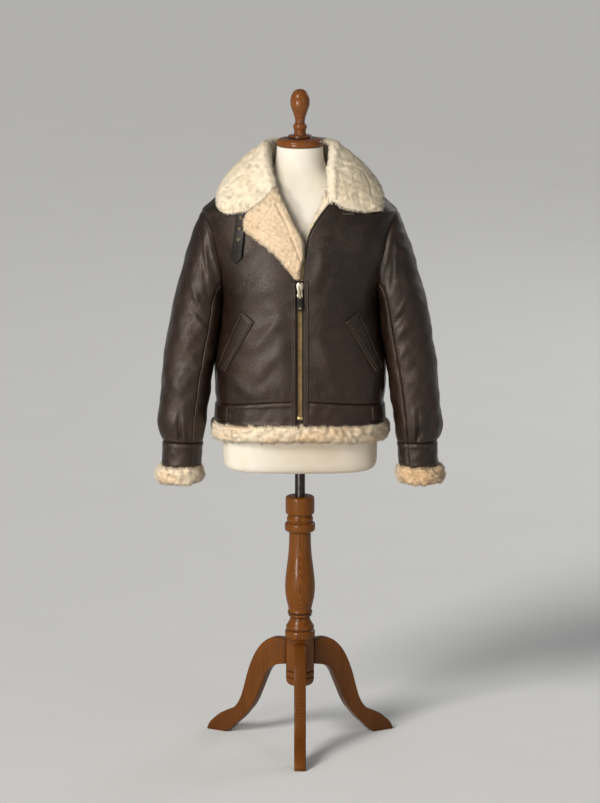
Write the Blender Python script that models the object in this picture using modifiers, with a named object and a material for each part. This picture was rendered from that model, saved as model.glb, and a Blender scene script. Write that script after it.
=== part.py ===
# Shearling coat on a limbless dress form, whose pole stands in a turned wooden column on three legs.
# Metres, +Z up, front towards -Y, the wearer's right at -X. Everything is drawn about the pole's axis.
import math
from collections import namedtuple

import bmesh
import bpy
import numpy as np
from mathutils import Vector
from mathutils.bvhtree import BVHTree

AXIS_Y = 0.0573          # the pole stands this far behind the middle of the floor area
GAP = 0.0003             # between pieces that are sewn or glued to each other
WALL = 0.008             # shearling: hide and clipped wool
TURNED_WALL = 0.0125     # shearling where its long wool is turned out
LEATHER = 0.0022         # straps, tabs and welts
QUARTER = math.pi / 2

UNDERARM = 1.115
SHOULDER = 1.342
NECK_SIDE = 1.434
NECK_BACK = 1.447
CLOSED_TOP = 1.1835      # the fronts part above this height
ZIP_HALF = 0.008         # half the space between the closed fronts
BAND_TOP_FRONT, BAND_TOP_SIDE = 0.886, 0.8645
BAND_END_FRONT, BAND_END_SIDE = 0.8245, 0.8130
FUR_HEIGHT = 0.042
FRONT_COLUMNS, BACK_COLUMNS = 10, 16
ARMHOLE_STEPS = 12
SLEEVE_RINGS = 16

POLE_RADIUS, POLE_FOOT, POLE_HEAD = 0.0125, 0.400, 0.780
BORE_RADIUS, BORE_END, SOCKET_END = 0.0130, 0.330, 0.790
LEG_THICK = 0.029
HUB_FLAT = 0.0330

LEATHER_BROWN = ("leather_brown", (0.045, 0.026, 0.018, 1), 0.45, 0.0)
LEATHER_BLACK = ("leather_black", (0.018, 0.014, 0.012, 1), 0.45, 0.0)
WOOL = ("wool_cream", (0.72, 0.60, 0.42, 1), 0.95, 0.0)
IVORY = ("cloth_ivory", (0.76, 0.70, 0.58, 1), 0.85, 0.0)
WOOD = ("wood_oak", (0.27, 0.11, 0.045, 1), 0.40, 0.0)
WOOD_RED = ("wood_red", (0.20, 0.065, 0.03, 1), 0.38, 0.0)
BRASS = ("brass", (0.55, 0.42, 0.20, 1), 0.35, 1.0)
STEEL = ("steel_dark", (0.10, 0.09, 0.085, 1), 0.30, 1.0)

Section = namedtuple("Section", "height half_width front back square")
BODY = [
    Section(0.770, 0.2060, 0.136, 0.136, 2.40),
    Section(0.820, 0.2060, 0.136, 0.136, 2.40),
    Section(0.8645, 0.2035, 0.137, 0.135, 2.40),
    Section(0.900, 0.2075, 0.142, 0.138, 2.40),
    Section(0.940, 0.2090, 0.145, 0.139, 2.40),
    Section(1.000, 0.2030, 0.147, 0.138, 2.40),
    Section(1.050, 0.1960, 0.148, 0.137, 2.40),
    Section(1.115, 0.1900, 0.150, 0.137, 2.40),
    Section(1.177, 0.2050, 0.150, 0.137, 2.35),
    Section(1.250, 0.2280, 0.145, 0.135, 2.35),
    Section(1.300, 0.2400, 0.134, 0.130, 2.30),
    Section(1.342, 0.2420, 0.120, 0.122, 2.25),
    Section(1.357, 0.2250, 0.112, 0.117, 2.20),
    Section(1.3755, 0.1980, 0.101, 0.109, 2.15),
    Section(1.402, 0.1500, 0.085, 0.098, 2.10),
    Section(1.420, 0.1100, 0.071, 0.090, 2.05),
    Section(1.434, 0.0810, 0.061, 0.084, 2.00),
    Section(1.450, 0.0700, 0.055, 0.078, 2.00),
]
FORM = [
    Section(0.7000, 0.168, 0.090, 0.090, 3.20),
    Section(0.7025, 0.176, 0.098, 0.098, 3.20),
    Section(0.7095, 0.184, 0.106, 0.106, 3.20),
    Section(0.7230, 0.188, 0.111, 0.111, 3.10),
    Section(0.7600, 0.1885, 0.113, 0.113, 3.00),
    Section(0.8200, 0.186, 0.114, 0.113, 2.80),
    Section(0.9000, 0.175, 0.110, 0.108, 2.45),
    Section(0.9800, 0.168, 0.107, 0.105, 2.40),
    Section(1.0800, 0.167, 0.112, 0.110, 2.35),
    Section(1.1800, 0.171, 0.120, 0.115, 2.30),
    Section(1.2500, 0.173, 0.116, 0.114, 2.25),
    Section(1.3000, 0.172, 0.107, 0.108, 2.20),
    Section(1.3400, 0.1715, 0.0920, 0.1010, 2.15),
    Section(1.3650, 0.1715, 0.0810, 0.0945, 2.10),
    Section(1.3780, 0.1690, 0.0765, 0.0900, 2.05),
    Section(1.3840, 0.1640, 0.0740, 0.0870, 2.05),
    Section(1.3940, 0.1455, 0.0700, 0.0825, 2.00),
    Section(1.4040, 0.1240, 0.0665, 0.0775, 2.00),
    Section(1.4120, 0.1060, 0.0640, 0.0725, 2.00),
    Section(1.4200, 0.0885, 0.0615, 0.0680, 2.00),
    Section(1.4270, 0.0755, 0.0590, 0.0630, 2.00),
    Section(1.4420, 0.0640, 0.0575, 0.0580, 2.00),
    Section(1.4640, 0.0575, 0.0560, 0.0565, 2.00),
    Section(1.4897, 0.0552, 0.0550, 0.0552, 2.00),
]

# Soft folds of the body: where each is centred (x and z, on the front for side -1, the back for side 1), how its
# run leans in x per metre of height, half its length, half its width, and how far it stands out of the cloth.
Fold = namedtuple("Fold", "side x z lean reach width out")
FOLDS = [
    Fold(-1, -0.105, 1.000, 0.45, 0.110, 0.030, 0.0030),
    Fold(-1, -0.045, 0.990, 0.05, 0.110, 0.026, 0.0020),
    Fold(-1, -0.165, 1.150, 0.30, 0.080, 0.026, -0.0025),
    Fold(-1, 0.060, 1.250, 0.55, 0.080, 0.026, 0.0025),
    Fold(-1, 0.130, 0.980, -0.25, 0.100, 0.030, 0.0020),
    Fold(-1, 0.165, 1.160, -0.20, 0.080, 0.026, -0.0025),
    Fold(1, -0.130, 1.120, -0.50, 0.110, 0.032, 0.0035),
    Fold(1, 0.125, 1.090, 0.55, 0.110, 0.032, 0.0035),
    Fold(1, -0.050, 0.990, 0.10, 0.100, 0.030, 0.0025),
    Fold(1, 0.060, 1.000, -0.15, 0.100, 0.030, -0.0030),
    Fold(1, 0.000, 1.260, 0.00, 0.090, 0.045, -0.0030),
]

# Front armhole and back armhole: how far each seam is from the middle at each height.
Armhole = namedtuple("Armhole", "height front back")
ARMHOLE = [
    Armhole(1.115, 0.190, 0.190),
    Armhole(1.119, 0.190, 0.1895),
    Armhole(1.131, 0.190, 0.1898),
    Armhole(1.150, 0.190, 0.1930),
    Armhole(1.177, 0.190, 0.1980),
    Armhole(1.210, 0.194, 0.205),
    Armhole(1.250, 0.203, 0.213),
    Armhole(1.290, 0.216, 0.224),
    Armhole(1.330, 0.236, 0.238),
    Armhole(1.342, 0.242, 0.242),
]
NeckSeam = namedtuple("NeckSeam", "height angle")
NECK_SEAM = [
    NeckSeam(1.3950, math.radians(36)),
    NeckSeam(1.4110, math.radians(52)),
    NeckSeam(1.4240, math.radians(70)),
    NeckSeam(1.4340, math.radians(88)),
]
# The open front edges above the zip: the right one is the lapel's roll, the left one hangs straight.
FrontEdge = namedtuple("FrontEdge", "height right left")
FRONT_EDGE = [
    FrontEdge(1.1880, 0.0056, 0.0088),
    FrontEdge(1.2050, 0.0040, 0.0108),
    FrontEdge(1.2250, 0.0012, 0.0130),
    FrontEdge(1.2480, -0.0022, 0.0162),
    FrontEdge(1.2700, -0.0020, 0.0195),
    FrontEdge(1.2930, 0.0065, 0.0255),
    FrontEdge(1.3160, 0.0190, 0.0375),
    FrontEdge(1.3390, 0.0310, 0.0530),
    FrontEdge(1.3570, 0.0400, 0.0685),
    FrontEdge(1.3680, 0.0460, 0.0790),
    FrontEdge(1.3850, 0.0540, 0.0785),
    FrontEdge(1.3950, 0.0590, 0.0785),
]
# One ring of the sleeve per row: its outermost and innermost points, the middle and half of its depth, and how
# much of the armhole's own shape it still has.
Ring = namedtuple("Ring", "run outer_x outer_z inner_x inner_z middle_y half_depth armhole")
SLEEVE = [
    Ring(0.00, 0.2420, 1.3420, 0.1900, 1.1150, -0.012, 0.072, 1.00),
    Ring(0.08, 0.2560, 1.3180, 0.1915, 1.1070, -0.012, 0.073, 0.62),
    Ring(0.18, 0.2740, 1.2700, 0.1936, 1.0940, -0.012, 0.074, 0.30),
    Ring(0.30, 0.2920, 1.2020, 0.1965, 1.0740, -0.012, 0.074, 0.08),
    Ring(0.45, 0.3090, 1.1230, 0.2005, 1.0430, -0.013, 0.071, 0.00),
    Ring(0.60, 0.3225, 1.0400, 0.2070, 0.9920, -0.015, 0.067, 0.00),
    Ring(0.74, 0.3345, 0.9480, 0.2145, 0.9250, -0.018, 0.063, 0.00),
    Ring(0.86, 0.3435, 0.8620, 0.2240, 0.8540, -0.021, 0.059, 0.00),
    Ring(0.93, 0.3468, 0.8150, 0.2298, 0.8110, -0.022, 0.056, 0.00),
    Ring(0.97, 0.3425, 0.7890, 0.2332, 0.7870, -0.022, 0.053, 0.00),
    Ring(1.00, 0.3355, 0.7720, 0.2363, 0.7690, -0.022, 0.050, 0.00),
]
# Run along the sleeve, turn round it from the top, half lengths of both, and how far the fold stands out.
SLEEVE_FOLDS = [
    (0.34, 1.2, 0.050, 0.60, 0.0030),
    (0.46, 1.9, 0.035, 0.55, -0.0035),
    (0.58, 1.3, 0.045, 0.70, 0.0030),
    (0.72, 1.6, 0.040, 0.60, -0.0030),
    (0.40, 4.6, 0.045, 0.70, 0.0030),
    (0.55, 4.3, 0.040, 0.60, -0.0035),
    (0.70, 4.7, 0.045, 0.70, 0.0030),
]
PLEAT_COLUMN, PLEAT_START, PLEAT_OUT = 5, 0.86, 0.0035

# The cuff and its turned-up wool: height, outermost x, innermost x, half depth of the outside.
Band = namedtuple("Band", "height outer_x inner_x half_depth")
CUFF = [
    Band(0.7705, 0.3352, 0.2366, 0.0497),
    Band(0.7400, 0.3362, 0.2385, 0.0490),
    Band(0.7095, 0.3378, 0.2420, 0.0480),
]
CUFF_FUR = [
    Band(0.7092, 0.3440, 0.2410, 0.0530),
    Band(0.7020, 0.3515, 0.2370, 0.0570),
    Band(0.6880, 0.3545, 0.2355, 0.0590),
    Band(0.6755, 0.3520, 0.2370, 0.0575),
    Band(0.6690, 0.3450, 0.2430, 0.0530),
]
CUFF_FUR_INSIDE = 0.0175
CUFF_WALL = 0.006
CUFF_MIDDLE_Y = -0.022

# The collar's leather side, from the middle of the back to the front end: the angle and height of its seam on
# the neck, the top of its stand, a point that guides its fall, and its outer edge.
Station = namedtuple("Station", "angle seam_z top_x top_y top_z fall_x fall_y fall_z edge_x edge_y edge_z")
COLLAR = [
    Station(180, 1.4480, 0.000, 0.086, 1.4850, 0.000, 0.106, 1.462, 0.000, 0.124, 1.372),
    Station(150, 1.4465, 0.043, 0.074, 1.4850, 0.058, 0.094, 1.462, 0.084, 0.116, 1.372),
    Station(120, 1.4425, 0.070, 0.043, 1.4850, 0.097, 0.064, 1.458, 0.140, 0.081, 1.378),
    Station(92, 1.4360, 0.081, 0.004, 1.4830, 0.127, 0.012, 1.465, 0.184, 0.022, 1.390),
    Station(70, 1.4260, 0.080, -0.028, 1.4640, 0.137, -0.026, 1.452, 0.195, -0.020, 1.374),
    Station(52, 1.4130, 0.075, -0.056, 1.4370, 0.128, -0.064, 1.418, 0.197, -0.058, 1.352),
]
COLLAR_ENDS = {
    "right": [Station(36, 1.3965, 0.062, -0.084, 1.4040, 0.104, -0.104, 1.3360, 0.184, -0.086, 1.3400)],
    "left": [
        Station(43, 1.3925, 0.076, -0.079, 1.4080, 0.122, -0.086, 1.3850, 0.197, -0.074, 1.3440),
        Station(38, 1.3700, 0.077, -0.099, 1.3780, 0.113, -0.105, 1.3370, 0.188, -0.086, 1.3405),
    ],
}
COLLAR_HALF_STATIONS = 10
# Outwards and up, where the collar turns over.
ROLL_TURN = [(0.0015, 0.0032), (0.0045, 0.0048), (0.0078, 0.0030)]
COLLAR_CLEAR = 0.0045    # between the collar's underside and the coat

# The lapel's rows: the panel's edge at the roll, and the lapel's outer edge, both as seen from the front.
LapelRow = namedtuple("LapelRow", "roll_x roll_z edge_x edge_z")
LAPEL = [
    LapelRow(-0.0056, 1.1880, -0.0120, 1.1890),
    LapelRow(-0.0040, 1.2050, -0.0250, 1.2060),
    LapelRow(-0.0012, 1.2250, -0.0500, 1.2350),
    LapelRow(0.0022, 1.2480, -0.0810, 1.2620),
    LapelRow(0.0020, 1.2700, -0.1105, 1.2830),
    LapelRow(-0.0065, 1.2930, -0.1310, 1.3000),
    LapelRow(-0.0190, 1.3160, -0.1368, 1.3165),
    LapelRow(-0.0310, 1.3390, -0.1290, 1.3330),
    LapelRow(-0.0400, 1.3570, -0.1060, 1.3500),
    LapelRow(-0.0480, 1.3720, -0.0830, 1.3660),
    LapelRow(-0.0540, 1.3850, -0.0660, 1.3800),
]
# Across the lapel, from its outer edge to the inside of its roll: the share of the width, how far past the
# panel's edge, and how far out of the panel's face, for the upper and the under side.
Across = namedtuple("Across", "share past top under_share under_past under")
LAPEL_ACROSS = [
    Across(1.00, 0.0000, 0.0080, 0.99, 0.0000, 0.0045),
    Across(0.93, 0.0000, 0.0130, 0.93, 0.0000, 0.0036),
    Across(0.70, 0.0000, 0.0160, 0.70, 0.0000, 0.0032),
    Across(0.38, 0.0000, 0.0165, 0.38, 0.0000, 0.0014),
    Across(0.08, 0.0000, 0.0160, 0.08, 0.0000, 0.0008),
    Across(0.00, 0.0045, 0.0130, 0.00, 0.0013, 0.0005),
    Across(0.00, 0.0082, 0.0050, 0.00, 0.0016, -0.0020),
    Across(0.00, 0.0080, -0.0040, 0.00, 0.0019, -0.0050),
    Across(0.00, 0.0050, -0.0095, 0.00, 0.0024, -0.0082),
]
ROLL_DIRECTION = (0.963, 0.270)

# Height, how far the wool reaches past the left front's edge.
FacingRow = namedtuple("FacingRow", "height reach")
FACING = [
    FacingRow(1.2460, 0.0028),
    FacingRow(1.2780, 0.0048),
    FacingRow(1.3020, 0.0085),
    FacingRow(1.3200, 0.0130),
    FacingRow(1.3400, 0.0180),
    FacingRow(1.3560, 0.0225),
    FacingRow(1.3680, 0.0270),
    FacingRow(1.3800, 0.0230),
    FacingRow(1.3920, 0.0190),
]

# Turned profiles, down the outer side: height and radius.
CAP_PROFILE = [
    (1.5160, 0.0000), (1.5160, 0.0280), (1.5130, 0.0290), (1.5105, 0.0310), (1.5090, 0.0460), (1.5060, 0.0530),
    (1.5020, 0.0560), (1.4960, 0.0565), (1.4920, 0.0550), (1.4900, 0.0515), (1.4900, 0.0000),
]
FINIAL_PROFILE = [
    (1.6280, 0.0000), (1.6270, 0.0070), (1.6225, 0.0145), (1.6130, 0.0205), (1.6000, 0.0234), (1.5900, 0.0232),
    (1.5750, 0.0185), (1.5600, 0.0135), (1.5480, 0.0115), (1.5425, 0.0150), (1.5370, 0.0172), (1.5320, 0.0155),
    (1.5260, 0.0142), (1.5163, 0.0155), (1.5163, 0.0000),
]
COLUMN_PROFILE = [
    (0.6250, 0.0130), (0.6250, 0.0320), (0.6225, 0.0350), (0.6150, 0.0357), (0.5900, 0.0357), (0.5825, 0.0345),
    (0.5800, 0.0290), (0.5770, 0.0300), (0.5685, 0.0326), (0.5605, 0.0305), (0.5590, 0.0350), (0.5540, 0.0375),
    (0.5440, 0.0375), (0.5385, 0.0345), (0.5360, 0.0266), (0.5100, 0.0284), (0.4850, 0.0315), (0.4580, 0.0341),
    (0.4300, 0.0361), (0.4055, 0.0369), (0.3740, 0.0354), (0.3480, 0.0305), (0.3410, 0.0290), (0.3320, 0.0316),
    (0.3240, 0.0300), (0.3215, 0.0250), (0.3160, 0.0262), (0.3000, 0.0330), (0.2900, 0.0358), (0.2870, 0.0335),
    (0.2850, 0.0370), (0.2700, 0.0370), (0.2680, 0.0350), (0.1880, 0.0350), (0.1855, 0.0320), (0.1830, 0.0350),
    (0.1720, 0.0350), (0.1700, 0.0325), (0.1670, 0.0350), (0.1560, 0.0335), (0.1480, 0.0230), (0.1480, 0.0000),
    (0.3300, 0.0000), (0.3300, 0.0130),
]
# The leg's upper and lower edges: distance from the pole's axis, height.
LEG_UPPER = [
    (0.0333, 0.2600), (0.0600, 0.2610), (0.0790, 0.2580), (0.1020, 0.2420), (0.1210, 0.2170), (0.1350, 0.1880),
    (0.1450, 0.1600), (0.1540, 0.1280), (0.1630, 0.0990), (0.1740, 0.0780), (0.1870, 0.0640), (0.2050, 0.0560),
    (0.2240, 0.0460), (0.2400, 0.0330), (0.2510, 0.0230), (0.2590, 0.0110), (0.2630, 0.0000),
]
LEG_LOWER = [
    (0.2060, 0.0000), (0.1950, 0.0080), (0.1820, 0.0220), (0.1620, 0.0400), (0.1450, 0.0595), (0.1320, 0.0760),
    (0.1215, 0.0945), (0.1090, 0.1230), (0.0970, 0.1510), (0.0870, 0.1720), (0.0740, 0.1865), (0.0560, 0.1940),
    (0.0333, 0.1980),
]

BUCKLE_PLACE = (0.116, 1.3510)
SEAT = GAP * 1.2         # a laid piece's height over the cloth
SAMPLES = 8              # places looked at along each side of a laid piece's faces

Mitre = namedtuple("Mitre", "seam inner across")


# ---- surfaces ------------------------------------------------------------------------------------------
def curve_through(knots, values):
    """A smooth function through the values that never overshoots them."""
    knots, values = np.asarray(knots, float), np.asarray(values, float)
    step = np.diff(knots)
    slope = np.diff(values) / step
    bend = np.zeros(len(knots))
    same = slope[:-1] * slope[1:] > 0
    pairs = slope[:-1][same], slope[1:][same]
    bend[1:-1][same] = 2 * pairs[0] * pairs[1] / (pairs[0] + pairs[1])
    bend[0], bend[-1] = slope[0], slope[-1]

    def at(x):
        x = np.clip(x, knots[0], knots[-1])
        i = np.clip(np.searchsorted(knots, x, side="right") - 1, 0, len(step) - 1)
        t = (x - knots[i]) / step[i]
        rise = (3 - 2 * t) * t * t
        return (
            values[i] * (1 - rise)
            + values[i + 1] * rise
            + step[i] * t * (1 - t) * ((1 - t) * bend[i] - t * bend[i + 1])
        )

    return at


def columns_of(table):
    """Each column of a table, after the first, as a smooth function of the first."""
    first = table[0]._fields[0]
    knots = [getattr(row, first) for row in table]
    return {
        name: curve_through(knots, [getattr(row, name) for row in table])
        for name in table[0]._fields[1:]
    }


body_at, form_at, armhole_at, edge_at, sleeve_at = map(columns_of, (BODY, FORM, ARMHOLE, FRONT_EDGE, SLEEVE))
neck_angle_at = columns_of(NECK_SEAM)["angle"]


def unit(vectors):
    return vectors / np.maximum(np.linalg.norm(vectors, axis=-1, keepdims=True), 1e-12)


def ring_point(shape, angle, height):
    """The point of a rounded section at this angle from the front, turning towards +X."""
    angle, height = np.broadcast_arrays(np.asarray(angle, float), np.asarray(height, float))
    across, along = np.sin(angle), np.cos(angle)
    depth = np.where(along > 0, shape["front"](height), shape["back"](height))
    square = shape["square"](height)
    width = shape["half_width"](height)
    radius = (np.abs(along / depth) ** square + np.abs(across / width) ** square) ** (-1 / square)
    return np.stack([radius * across, -radius * along, height], axis=-1)


def fold_out(points):
    """How far the soft folds stand out of the body at these points."""
    out = np.zeros(points.shape[:-1])
    for fold in FOLDS:
        run = (points[..., 2] - fold.z) / fold.reach
        side = (points[..., 0] - fold.x - fold.lean * (points[..., 2] - fold.z)) / fold.width
        shown = np.clip(fold.side * points[..., 1] / 0.03, 0, 1)
        out = out + fold.out * shown * np.exp(-side * side) * np.clip(1 - run * run, 0, 1) ** 2
    return out


def body_point(angle, height, out=0.0):
    """A point of the coat's outside, moved out by `out`."""
    angle, height, out = np.broadcast_arrays(*(np.asarray(v, float) for v in (angle, height, out)))
    small = 0.0005
    here = ring_point(body_at, angle, height)
    turned = ring_point(body_at, angle + small, height) - ring_point(body_at, angle - small, height)
    raised = ring_point(body_at, angle, height + small) - ring_point(body_at, angle, height - small)
    normal = unit(np.cross(turned, raised))
    return here + normal * (fold_out(here) + out)[..., None]


def body_normal(angle, height):
    return unit(body_point(angle, height, 0.001) - body_point(angle, height, 0.0))


def angle_at(x, height, behind=False):
    """The angle at which the body is this far from the middle."""
    x, height = np.broadcast_arrays(np.asarray(x, float), np.asarray(height, float))
    square, width = body_at["square"](height), body_at["half_width"](height)
    depth = body_at["back" if behind else "front"](height)
    y = depth * np.clip(1 - np.abs(x / width) ** square, 0, 1) ** (1 / square)
    return np.arctan2(x, -y if behind else y)


def front_point(x, height, out=0.0):
    return body_point(angle_at(x, height), height, out)


def grid_normals(grid, around=False):
    """Normals of a grid [row][column], on the side of (along its rows) x (down its columns)."""
    if around:
        along = np.roll(grid, -1, axis=1) - np.roll(grid, 1, axis=1)
    else:
        along = np.gradient(grid, axis=1)
    return unit(np.cross(along, np.gradient(grid, axis=0)))


def band_top(angle):
    return BAND_TOP_SIDE + (BAND_TOP_FRONT - BAND_TOP_SIDE) * np.clip(np.cos(angle), 0, 1) ** 1.5


def band_end(angle):
    return BAND_END_SIDE + (BAND_END_FRONT - BAND_END_SIDE) * np.clip(np.cos(angle), 0, 1) ** 1.5


# ---- objects -------------------------------------------------------------------------------------------
def clear_scene():
    for thing in list(bpy.data.objects):
        bpy.data.objects.remove(thing, do_unlink=True)


def new_collection(name, shown=True):
    collection = bpy.data.collections.new(name)
    bpy.context.scene.collection.children.link(collection)
    collection.hide_render = not shown
    return collection


def material_of(look):
    name, colour, roughness, metallic = look
    material = bpy.data.materials.get(name)
    if material:
        return material
    material = bpy.data.materials.new(name)
    material.use_nodes = True
    shader = material.node_tree.nodes["Principled BSDF"]
    shader.inputs["Base Color"].default_value = colour
    shader.inputs["Roughness"].default_value = roughness
    shader.inputs["Metallic"].default_value = metallic
    material.diffuse_color = colour
    return material


def add_object(name, mesh, look, collection="coat_on_form"):
    thing = bpy.data.objects.new(name, mesh)
    thing.location = (0, AXIS_Y, 0)
    bpy.data.collections[collection].objects.link(thing)
    thing.data.materials.append(material_of(look).copy())
    thing.data.materials[0].name = f"{name}_{look[0]}"
    if collection == "cutters":
        thing.hide_render = True
        thing.display_type = "WIRE"
    return thing


def mesh_object(name, points, faces, look, collection="coat_on_form"):
    mesh = bpy.data.meshes.new(name)
    mesh.from_pydata([tuple(map(float, point)) for point in points], [], faces)
    work = bmesh.new()
    work.from_mesh(mesh)
    bmesh.ops.recalc_face_normals(work, faces=work.faces)
    quads = [face for face in work.faces if len(face.verts) == 4]
    bmesh.ops.triangulate(work, faces=quads, quad_method="SHORT_EDGE")
    work.to_mesh(mesh)
    work.free()
    return add_object(name, mesh, look, collection)


def shell(name, outer, inner, look, around=False):
    """A wall between two grids of points [row][column]. `around` joins its last column to its first."""
    rows, columns = outer.shape[:2]
    behind = rows * columns
    spans = columns if around else columns - 1
    faces = []
    for row in range(rows - 1):
        for column in range(spans):
            a, b = row * columns + column, row * columns + (column + 1) % columns
            faces.append((a, b, b + columns, a + columns))
            faces.append((behind + a, behind + a + columns, behind + b + columns, behind + b))
    for row in (0, rows - 1):
        for column in range(spans):
            a, b = row * columns + column, row * columns + (column + 1) % columns
            faces.append((a, b, behind + b, behind + a))
    if not around:
        for column in (0, columns - 1):
            for row in range(rows - 1):
                a, b = row * columns + column, (row + 1) * columns + column
                faces.append((a, b, behind + b, behind + a))
    return mesh_object(name, np.concatenate([outer.reshape(-1, 3), inner.reshape(-1, 3)]), faces, look)


def modifier(thing, kind, **settings):
    added = thing.modifiers.new(kind.title(), kind)
    for name, value in settings.items():
        setattr(added, name, value)
    return added


def turned(name, profile, steps, look):
    """A lathe shape from its profile, down the outer side."""
    mesh = bpy.data.meshes.new(name)
    ends = [(i, i + 1) for i in range(len(profile) - 1)]
    if profile[0][1] > 0:
        ends.append((len(profile) - 1, 0))
    mesh.from_pydata([(radius, 0, height) for height, radius in profile], ends, [])
    thing = add_object(name, mesh, look)
    modifier(
        thing, "SCREW", steps=steps, render_steps=steps, use_merge_vertices=True, merge_threshold=0.00005,
        use_smooth_shade=False, use_normal_calculate=True,
    )
    return thing


def cylinder(name, radius, low, high, sides, look, collection="coat_on_form", edge=0.0):
    mesh = bpy.data.meshes.new(name)
    work = bmesh.new()
    bmesh.ops.create_cone(
        work, cap_ends=True, cap_tris=False, segments=sides, radius1=radius, radius2=radius, depth=high - low
    )
    bmesh.ops.translate(work, verts=work.verts, vec=(0, 0, (low + high) / 2))
    work.to_mesh(mesh)
    work.free()
    thing = add_object(name, mesh, look, collection)
    if edge:
        modifier(thing, "BEVEL", width=edge, segments=1, limit_method="ANGLE")
    return thing


def block(name, low, high, look, collection="coat_on_form"):
    mesh = bpy.data.meshes.new(name)
    work = bmesh.new()
    bmesh.ops.create_cube(work, size=1)
    for vertex in work.verts:
        for axis in range(3):
            vertex.co[axis] = (low, high)[vertex.co[axis] > 0][axis]
    work.to_mesh(mesh)
    work.free()
    return add_object(name, mesh, look, collection)


def combine(thing, other, operation):
    modifier(thing, "BOOLEAN", operation=operation, object=other, solver="EXACT")


# ---- coat body -----------------------------------------------------------------------------------------
LOWER_ROWS = np.linspace(0, 1, 7)
ARMHOLE_SHARES = (1 - np.cos(np.pi * np.arange(ARMHOLE_STEPS + 1) / ARMHOLE_STEPS)) / 2
ARMHOLE_HEIGHTS = UNDERARM + (SHOULDER - UNDERARM) * ARMHOLE_SHARES
UPPER_ROWS = np.array([0.14, 0.27, 0.41, 0.57, 0.74, 0.89, 1.0])


def seam_angle(heights):
    """The shoulder seam, which runs a little behind the middle as it nears the neck."""
    return QUARTER + math.radians(6) * np.clip((heights - SHOULDER) / (NECK_SIDE - SHOULDER), 0, 1)


def armhole_loop():
    """The armhole seam at +X: down the front from the shoulder to the underarm, and up the back."""
    down = ARMHOLE_HEIGHTS[::-1]
    front = angle_at(np.minimum(armhole_at["front"](down), body_at["half_width"](down)), down)
    up = ARMHOLE_HEIGHTS[1:-1]
    back = angle_at(np.minimum(armhole_at["back"](up), body_at["half_width"](up)), up, behind=True)
    angles, heights = np.concatenate([front, back]), np.concatenate([down, up])
    return angles, heights


LOOP_ANGLES, LOOP_HEIGHTS = armhole_loop()
RING_POINTS = len(LOOP_ANGLES)
RING_TURN = 2 * np.pi * np.arange(RING_POINTS) / RING_POINTS


def sleeve_outside():
    """The outside of the sleeve at +X as rings from the armhole down."""
    loop = body_point(LOOP_ANGLES, LOOP_HEIGHTS)
    square = 2.25
    cosine, sine = np.cos(RING_TURN), np.sin(RING_TURN)
    grow = (np.abs(cosine) ** square + np.abs(sine) ** square) ** (-1 / square)

    def plain(run):
        sides = ("outer", "inner")
        ends = [np.array([sleeve_at[f"{side}_x"](run), 0, sleeve_at[f"{side}_z"](run)]) for side in sides]
        middle, reach = (ends[0] + ends[1]) / 2, (ends[0] - ends[1]) / 2
        points = middle + np.outer(cosine * grow, reach)
        points[:, 1] = sleeve_at["middle_y"](run) - sine * grow * sleeve_at["half_depth"](run)
        return points

    first = loop - plain(0.0)
    runs = np.concatenate([[0, 0.035, 0.08, 0.135], np.linspace(0.195, 0.93, SLEEVE_RINGS - 6), [0.965, 1.0]])
    rings = np.array([plain(run) + sleeve_at["armhole"](run) * first for run in runs])
    normals = sleeve_normals(rings)
    out = np.zeros(rings.shape[:2])
    for run, turn, length, width, height in SLEEVE_FOLDS:
        along = (runs[:, None] - run) / length
        around = (np.abs(RING_TURN[None] - turn) + 0.9 * along) / width
        out += height * np.exp(-along * along) * np.exp(-around * around)
    pleat = np.clip((runs - PLEAT_START) / (1 - PLEAT_START), 0, 1)
    out[:, PLEAT_COLUMN] -= PLEAT_OUT * pleat
    out[:, PLEAT_COLUMN + 1] += PLEAT_OUT * pleat
    out[[0, -1]] = 0
    return rings + normals * out[..., None]


def sleeve_normals(rings):
    normals = grid_normals(rings, around=True)
    middle = rings.mean(axis=1, keepdims=True)
    return normals if np.sum(normals * (rings - middle)) > 0 else -normals


def armhole_mitre(rings):
    """Where the walls of body and sleeve meet inside the armhole seam, and the direction across that joint."""
    seam = rings[0]
    body = body_normal(LOOP_ANGLES, LOOP_HEIGHTS)
    sleeve = sleeve_normals(rings)[0]
    inward = unit(-body - sleeve + np.array([0, 0, 0.25]))
    inward = unit((inward + np.roll(inward, 1, axis=0) + np.roll(inward, -1, axis=0)) / 3)
    reach = WALL / np.clip(np.sum(inward * -body, axis=-1), 0.7, 1)
    along = unit(np.roll(seam, -1, axis=0) - np.roll(seam, 1, axis=0))
    across = unit(np.cross(along, inward))
    outwards = rings[2].mean(axis=0) - seam.mean(axis=0)
    across = across * np.sign(across @ outwards)[:, None]
    return Mitre(seam, seam + inward * reach[:, None], across)


def panel(name, starts, ends, heights, columns, start_mitre=None, end_mitre=None, mirrored=False):
    """A body panel between two edges given as an angle per row, its rows from the waist up."""
    share = np.linspace(0, 1, columns + 1)
    angles = starts[:, None] + (ends - starts)[:, None] * share
    levels = heights(angles)
    radius = np.linalg.norm(body_point(angles, levels)[..., :2], axis=-1)
    angles[:, 0] += GAP / 2 / radius[:, 0]
    angles[:, -1] -= GAP / 2 / radius[:, -1]
    levels = heights(angles)
    outer, inner = body_point(angles, levels), body_point(angles, levels, -WALL)
    first_row = len(LOWER_ROWS) - 1
    for column, mitre in ((0, start_mitre), (-1, end_mitre)):
        if mitre is None:
            continue
        rows = slice(first_row, first_row + ARMHOLE_STEPS + 1)
        outer[rows, column] = mitre.seam - mitre.across * GAP / 2
        inner[rows, column] = mitre.inner - mitre.across * GAP / 2
    if mirrored:
        outer[..., 0] *= -1
        inner[..., 0] *= -1
    return shell(name, outer, inner, LEATHER_BROWN)


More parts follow.
